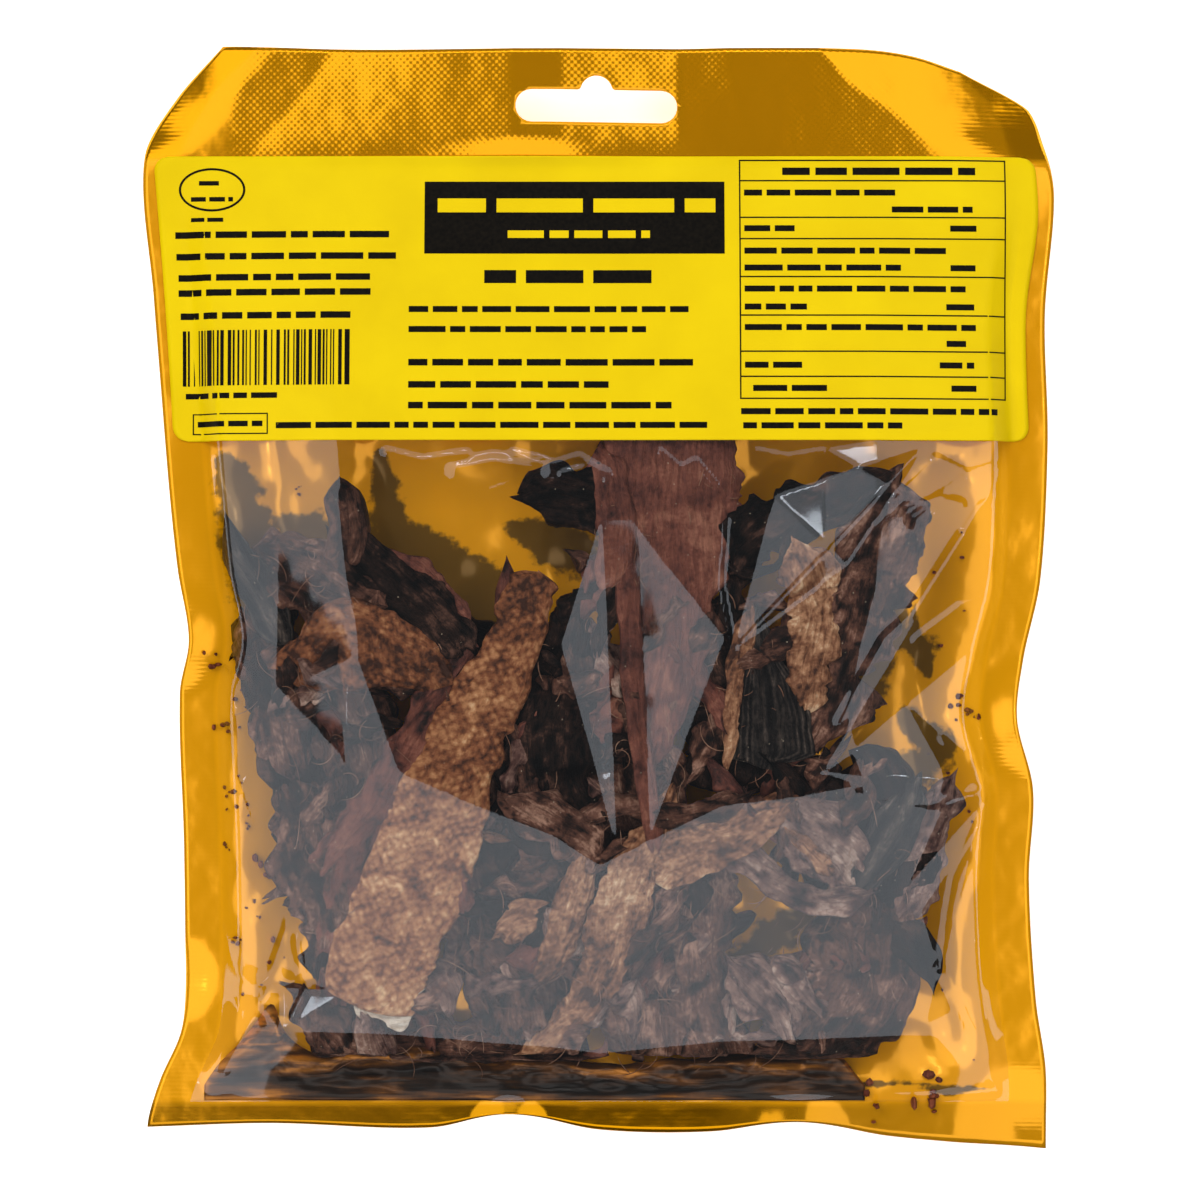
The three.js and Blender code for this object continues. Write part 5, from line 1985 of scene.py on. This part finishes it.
@dataclass(frozen=True)
class Label:
    """The wide yellow label over the top of the window, and the plain bars printed on it."""

    bottom: float = 31.3
    top: float = 88.0
    width: float = 175.0
    corner: float = 3.0
    gap: float = 0.12
    thickness: float = 0.12
    left_edge: Stations = ((31, -84.8), (60, -86.6), (88, -88.7))
    right_edge: Stations = ((31, 85.6), (44, 85), (58, 85), (75, 87.2), (88, 86.8))
    ink_lift: float = 0.05
    step: float = 1.0

    def height(self, x: Array, y: Array) -> Array:
        """Underside of the label: a little above the film, or above the seals beside it."""
        return FORM.film(x, y) + self.gap

    def sheet(self, finish: bpy.types.Material) -> bpy.types.Object:
        """Makes the sheet, with round corners where its rows draw in by a quarter circle.

        Args:
            finish: the paper's material.

        Returns:
            The piece.
        """
        rows = np.linspace(0.0, 1.0, int((self.top - self.bottom) / self.step))
        rows = 0.7 * (0.5 - 0.5 * np.cos(math.pi * rows)) + 0.3 * rows
        share = np.linspace(0.0, 1.0, int(self.width / self.step))
        y, t = np.meshgrid(self.bottom + rows * (self.top - self.bottom), share, indexing="ij")
        to_edge = np.clip(self.corner - np.minimum(y - self.bottom, self.top - y), 0.0, self.corner)
        inset = self.corner - np.sqrt(self.corner**2 - to_edge**2)
        left = through(self.left_edge, y) + inset
        right = through(self.right_edge, y) - inset
        x = left * (1.0 - t) + right * t
        under = self.height(x, y)
        return closed_sheet(x, y, under, under + self.thickness, {}).piece("label_sheet", finish)

    def patch(self, x0: float, x1: float, y0: float, y1: float, layer: int = 0) -> Shape:
        """A thin printed rectangle that follows the label.

        Args:
            x0: left side.
            x1: right side.
            y0: lower side.
            y1: upper side.
            layer: how many layers of ink lie under it.

        Returns:
            An open shape that faces up.
        """
        columns = max(2, int((x1 - x0) / self.step) + 2)
        rows = max(2, int((y1 - y0) / self.step) + 2)
        y, x = np.meshgrid(np.linspace(y0, y1, rows), np.linspace(x0, x1, columns), indexing="ij")
        z = self.height(x, y) + self.thickness + self.ink_lift * (1 + layer)
        return Shape(stack(x, y, z).reshape(-1, 3), [grid_faces(rows, columns)], {})

    def words(self, x0: float, x1: float, y: float, high: float, seed: int, layer: int = 0) -> list[Shape]:
        """A line of plain bars, one where each word would be.

        Args:
            x0: where the line starts.
            x1: where it ends.
            y: the line's middle.
            high: the bars' height.
            seed: picks the words' lengths.
            layer: how many layers of ink lie under it.

        Returns:
            One shape for each bar.
        """
        rng = np.random.default_rng(seed)
        bars, x = [], x0
        while x < x1 - high:
            end = min(x + high * rng.uniform(2.2, 6.5), x1)
            bars.append(self.patch(x, end, y - high / 2, y + high / 2, layer))
            x = end + 0.75 * high
        return bars

    def frame(self, x0: float, x1: float, y0: float, y1: float, line: float) -> list[Shape]:
        """The four thin lines of a box.

        Args:
            x0: left side.
            x1: right side.
            y0: lower side.
            y1: upper side.
            line: how wide the lines are.

        Returns:
            One shape for each line.
        """
        return [
            self.patch(x0, x1, y0, y0 + line),
            self.patch(x0, x1, y1 - line, y1),
            self.patch(x0, x0 + line, y0, y1),
            self.patch(x1 - line, x1, y0, y1),
        ]

    def oval(self, cx: float, cy: float, rx: float, ry: float, line: float) -> Shape:
        """A thin oval line: the ring between two ellipses.

        Args:
            cx: its middle across.
            cy: its middle up.
            rx: half its width inside the line.
            ry: half its height inside the line.
            line: how wide the line is.

        Returns:
            An open shape that faces up.
        """
        steps = 49
        turn = np.linspace(0.0, TAU, steps)[None, :]
        grow = np.array([[0.0], [line]])
        x = cx + (rx + grow) * np.cos(turn)
        y = cy + (ry + grow) * np.sin(turn)
        z = self.height(x, y) + self.thickness + self.ink_lift
        return Shape(stack(x, y, z).reshape(-1, 3), [grid_faces(2, steps)[:, ::-1]], {})

    def bars(self, x0: float, x1: float, y0: float, y1: float) -> list[Shape]:
        """Upright bars of mixed widths from a seeded draw, which code nothing.

        Args:
            x0: left side.
            x1: right side.
            y0: lower side.
            y1: upper side.

        Returns:
            One shape for each bar.
        """
        rng = np.random.default_rng(5)
        shapes, x = [], x0
        while x < x1 - 0.4:
            wide = rng.choice([0.25, 0.4, 0.7, 1.0], p=[0.4, 0.3, 0.2, 0.1])
            shapes.append(self.patch(x, min(x + wide, x1), y0, y1))
            x += wide + rng.choice([0.3, 0.55, 0.8])
        return shapes

    def black_print(self, finish: bpy.types.Material) -> bpy.types.Object:
        """Makes all that is printed black: lines of bars, boxes, the table and the banner.

        Args:
            finish: the ink's material.

        Returns:
            The piece.
        """
        shapes = [self.oval(-77.0, 81.3, 6.2, 3.9, 0.45), self.patch(-34.7, 24.8, 68.4, 82.9)]
        shapes += self.words(-79.6, -74.4, 82.6, 0.9, 1) + self.words(-81.2, -72.8, 79.4, 0.9, 2)
        shapes += self.bars(-83.0, -49.2, 42.3, 53.3)
        shapes += self.frame(-81.0, -65.5, 32.6, 36.8, 0.25)
        # Left end, right end, middle and height of each line of bars.
        lines = (
            (-81.2, -74.7, 75.3, 0.8), (-84.4, -41.7, 72.3, 1.3), (-84.2, -40.3, 68.0, 1.3),
            (-83.8, -45.4, 63.8, 1.3), (-83.8, -44.4, 60.8, 1.3), (-83.4, -49.2, 56.2, 1.3),
            (-82.4, -63.7, 40.3, 1.1), (-80.0, -66.6, 34.7, 1.1), (-63.9, 21.2, 34.3, 1.2),
            (-22.8, 13.0, 63.8, 2.6), (-37.7, 17.6, 57.3, 1.2), (-37.7, 9.2, 53.3, 1.2),
            (-37.7, 18.8, 46.7, 1.3), (-37.7, 2.5, 42.3, 1.3), (-37.7, 14.2, 38.2, 1.3),
            (36.3, 74.7, 85.0, 1.5), (28.7, 59.3, 80.7, 1.2), (58.0, 74.1, 77.3, 1.2),
            (28.7, 40.0, 73.5, 1.2), (69.6, 76.0, 73.5, 1.2), (28.7, 68.7, 69.0, 1.2),
            (28.7, 59.7, 65.6, 1.2), (69.6, 74.6, 65.6, 1.2), (28.7, 72.6, 61.4, 1.2),
            (28.7, 41.0, 57.8, 1.2), (68.7, 74.6, 57.8, 1.2), (28.7, 74.6, 53.7, 1.2),
            (68.7, 72.6, 50.5, 1.2), (28.7, 42.0, 46.2, 1.2), (67.3, 74.2, 46.2, 1.2),
            (30.3, 45.0, 41.6, 1.2), (69.6, 74.6, 41.6, 1.2), (27.9, 79.6, 37.0, 1.2),
            (28.3, 59.7, 34.2, 1.2),
        )  # fmt: skip
        for seed, (x0, x1, y, high) in enumerate(lines):
            shapes += self.words(x0, x1, y, high, 20 + seed)
        shapes += self.frame(27.7, 80.8, 39.4, 87.3, 0.28)
        for y in (83.1, 75.7, 71.4, 63.8, 56.1, 48.9, 43.9):
            shapes.append(self.patch(27.7, 80.8, y - 0.14, y + 0.14))
        return Shape.joined(shapes).piece("label_black_print", finish)

    def yellow_print(self, finish: bpy.types.Material) -> bpy.types.Object:
        """Makes the bars that stand out yellow on the black banner.

        Args:
            finish: their material.

        Returns:
            The piece.
        """
        shapes = self.words(-32.1, 23.0, 78.1, 2.8, 91, layer=1)
        shapes += self.words(-18.2, 10.0, 72.3, 1.5, 92, layer=1)
        return Shape.joined(shapes).piece("label_yellow_print", finish)


# ---- Studio ----


@dataclass(frozen=True)
class Softbox:
    """A flat lamp with an even face, aimed straight down from where it hangs."""

    name: str
    x: float
    y: float
    z: float
    wide: float
    deep: float
    radiance: float

    def build(self) -> None:
        """Hangs the lamp: its power is its radiance times pi times its area."""
        light = bpy.data.lights.new(self.name, "AREA")
        light.shape = "RECTANGLE"
        light.size = self.wide
        light.size_y = self.deep
        light.energy = self.radiance * math.pi * self.wide * self.deep
        lamp = bpy.data.objects.new(self.name, light)
        lamp.location = (self.x, self.y, self.z)
        bpy.context.scene.collection.objects.link(lamp)


@dataclass(frozen=True)
class Studio:
    """Lit white table, soft lamps round a dark middle, and the camera over the pouch, in metres.

    The camera's shift alone is in millimetres: the place that the middle of the frame shows.
    """

    softboxes: tuple[Softbox, ...] = (
        Softbox("left_softbox", -0.45, -0.05, 0.62, 0.56, 1.50, 1.15),
        Softbox("right_softbox", 0.45, -0.05, 0.62, 0.56, 1.50, 1.15),
        Softbox("front_softbox", 0.0, -0.54, 0.62, 0.34, 0.56, 1.15),
        Softbox("top_softbox", 0.0, 0.55, 0.62, 0.34, 0.50, 0.8),
        Softbox("top_bare_tube", 0.0, 0.50, 0.61, 0.30, 0.03, 6.0),
        Softbox("right_bare_bulb", 0.47, 0.02, 0.61, 0.03, 0.05, 14.0),
        Softbox("left_bare_bulb", -0.47, -0.12, 0.61, 0.03, 0.05, 5.0),
    )
    fills: tuple[tuple[str, float, float, tuple[float, float, float]], ...] = (
        ("overhead_fill", 0.75, 90.0, (0.0, 0.0, 0.0)),
        ("upper_left_fill", 1.15, 40.0, (-32.0, -36.0, 0.0)),
    )
    room: float = 0.09
    backdrop: str = "#F0F0F0"
    floor_size: float = 8.0
    floor_drop: float = 0.0002
    camera_height: float = 0.8
    camera_shift: tuple[float, float] = (0.1, -0.2)
    header_height: float = 0.010
    frame_pixels: float = 1200.0
    pixels_per_mm: float = 5.03
    sensor: float = 36.0

    def build(self) -> None:
        """Sets up the floor, the lamps, the room's dim light and the camera."""
        bpy.ops.mesh.primitive_grid_add(x_subdivisions=2, y_subdivisions=2, size=self.floor_size)
        floor = bpy.context.object
        floor.name = "floor"
        floor.location.z = -self.floor_drop
        floor.data.materials.append(LitTable("lit_acrylic").build())
        for softbox in self.softboxes:
            softbox.build()
        self.fill_lights()
        self.surroundings()
        self.camera()
        bpy.context.scene.view_settings.view_transform = "Standard"
        bpy.context.scene.view_settings.look = "None"

    def fill_lights(self) -> None:
        """Adds soft lights from above and from the upper left that don't show in gloss."""
        for name, energy, spread, tilt in self.fills:
            light = bpy.data.lights.new(name, "SUN")
            light.energy = energy
            light.angle = math.radians(spread)
            lamp = bpy.data.objects.new(name, light)
            lamp.rotation_euler = tuple(math.radians(angle) for angle in tilt)
            lamp.visible_glossy = False
            bpy.context.scene.collection.objects.link(lamp)

    def surroundings(self) -> None:
        """Makes the room dim for what is lit by it, and pale where it is seen past the floor."""
        world = bpy.data.worlds.new("room")
        world.use_nodes = True
        tree = world.node_tree
        tree.nodes.clear()
        seen = add(tree, "LightPath").outputs["Is Camera Ray"]
        tones = {0: seen, 6: (self.room, self.room, self.room, 1.0), 7: linear(self.backdrop)}
        tone = add(tree, "Mix", tones, data_type="RGBA").outputs[2]
        add(tree, "OutputWorld", {"Surface": add(tree, "Background", {"Color": tone})})
        bpy.context.scene.world = world

    def camera(self) -> None:
        """Hangs the camera straight over the pouch, so that the frame shows what the photo shows."""
        data = bpy.data.cameras.new("camera")
        data.sensor_width = self.sensor
        distance = self.camera_height - self.header_height
        data.lens = self.sensor * distance / (self.frame_pixels / self.pixels_per_mm * MM)
        data.clip_start = 0.01
        data.clip_end = 50.0
        camera = bpy.data.objects.new("camera", data)
        across, up = self.camera_shift
        camera.location = (across * MM, up * MM, self.camera_height)
        bpy.context.scene.collection.objects.link(camera)
        bpy.context.scene.camera = camera


# ---- Making ----


def place(piece: bpy.types.Object, slot: str, *nodes: str) -> None:
    """Rides a piece on the pouch, hides the solids that it replaces, and logs it with its slot.

    Args:
        piece: the piece.
        slot: the record's material slot that its finish comes from.
        *nodes: the solids that it replaces.
    """
    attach(piece, "root")
    if nodes:
        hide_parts(*nodes)
    log.info("placed %s as %s", piece.name, slot)


def main() -> None:
    """Builds the pouch and the studio, piece by piece."""
    logging.basicConfig(level=logging.INFO, format="%(name)s: %(message)s")
    Studio().build()
    place(BackFoil().build(GoldFoil("gold_metallised_polyester").build()), "gold_foil", "back_foil")
    place(GussetFold().build(ShadedFoil("shaded_gold_foil").build()), "gold_foil", "filled_window")
    film = FrontFilm().build(ClearFilm("clear_polypropylene").build())
    place(film, "clear_film", "filled_window")
    for piece, slot in Filling().build():
        place(piece, slot, "filled_window")
    strands = Strands().build(
        DriedTissue("dried_strands", "#3A2218", "#6E4A38", "#9A7660", "#C8AC94").build()
    )
    place(strands, "dried_flesh", "filled_window")
    crumbs = Crumbs().build(DriedTissue("dried_crumbs", "#2E140D", "#64301F", "#84462C", "#A06A4A").build())
    place(crumbs, "dried_flesh", "filled_window")
    label = Label()
    yellow = LabelPaper("coated_yellow_paper").build()
    place(label.sheet(yellow), "label_paper", "label")
    place(label.black_print(PrintingInk("black_ink").build()), "label_ink", "label")
    place(label.yellow_print(yellow), "label_paper", "label")


if __name__ == "__main__":
    main()
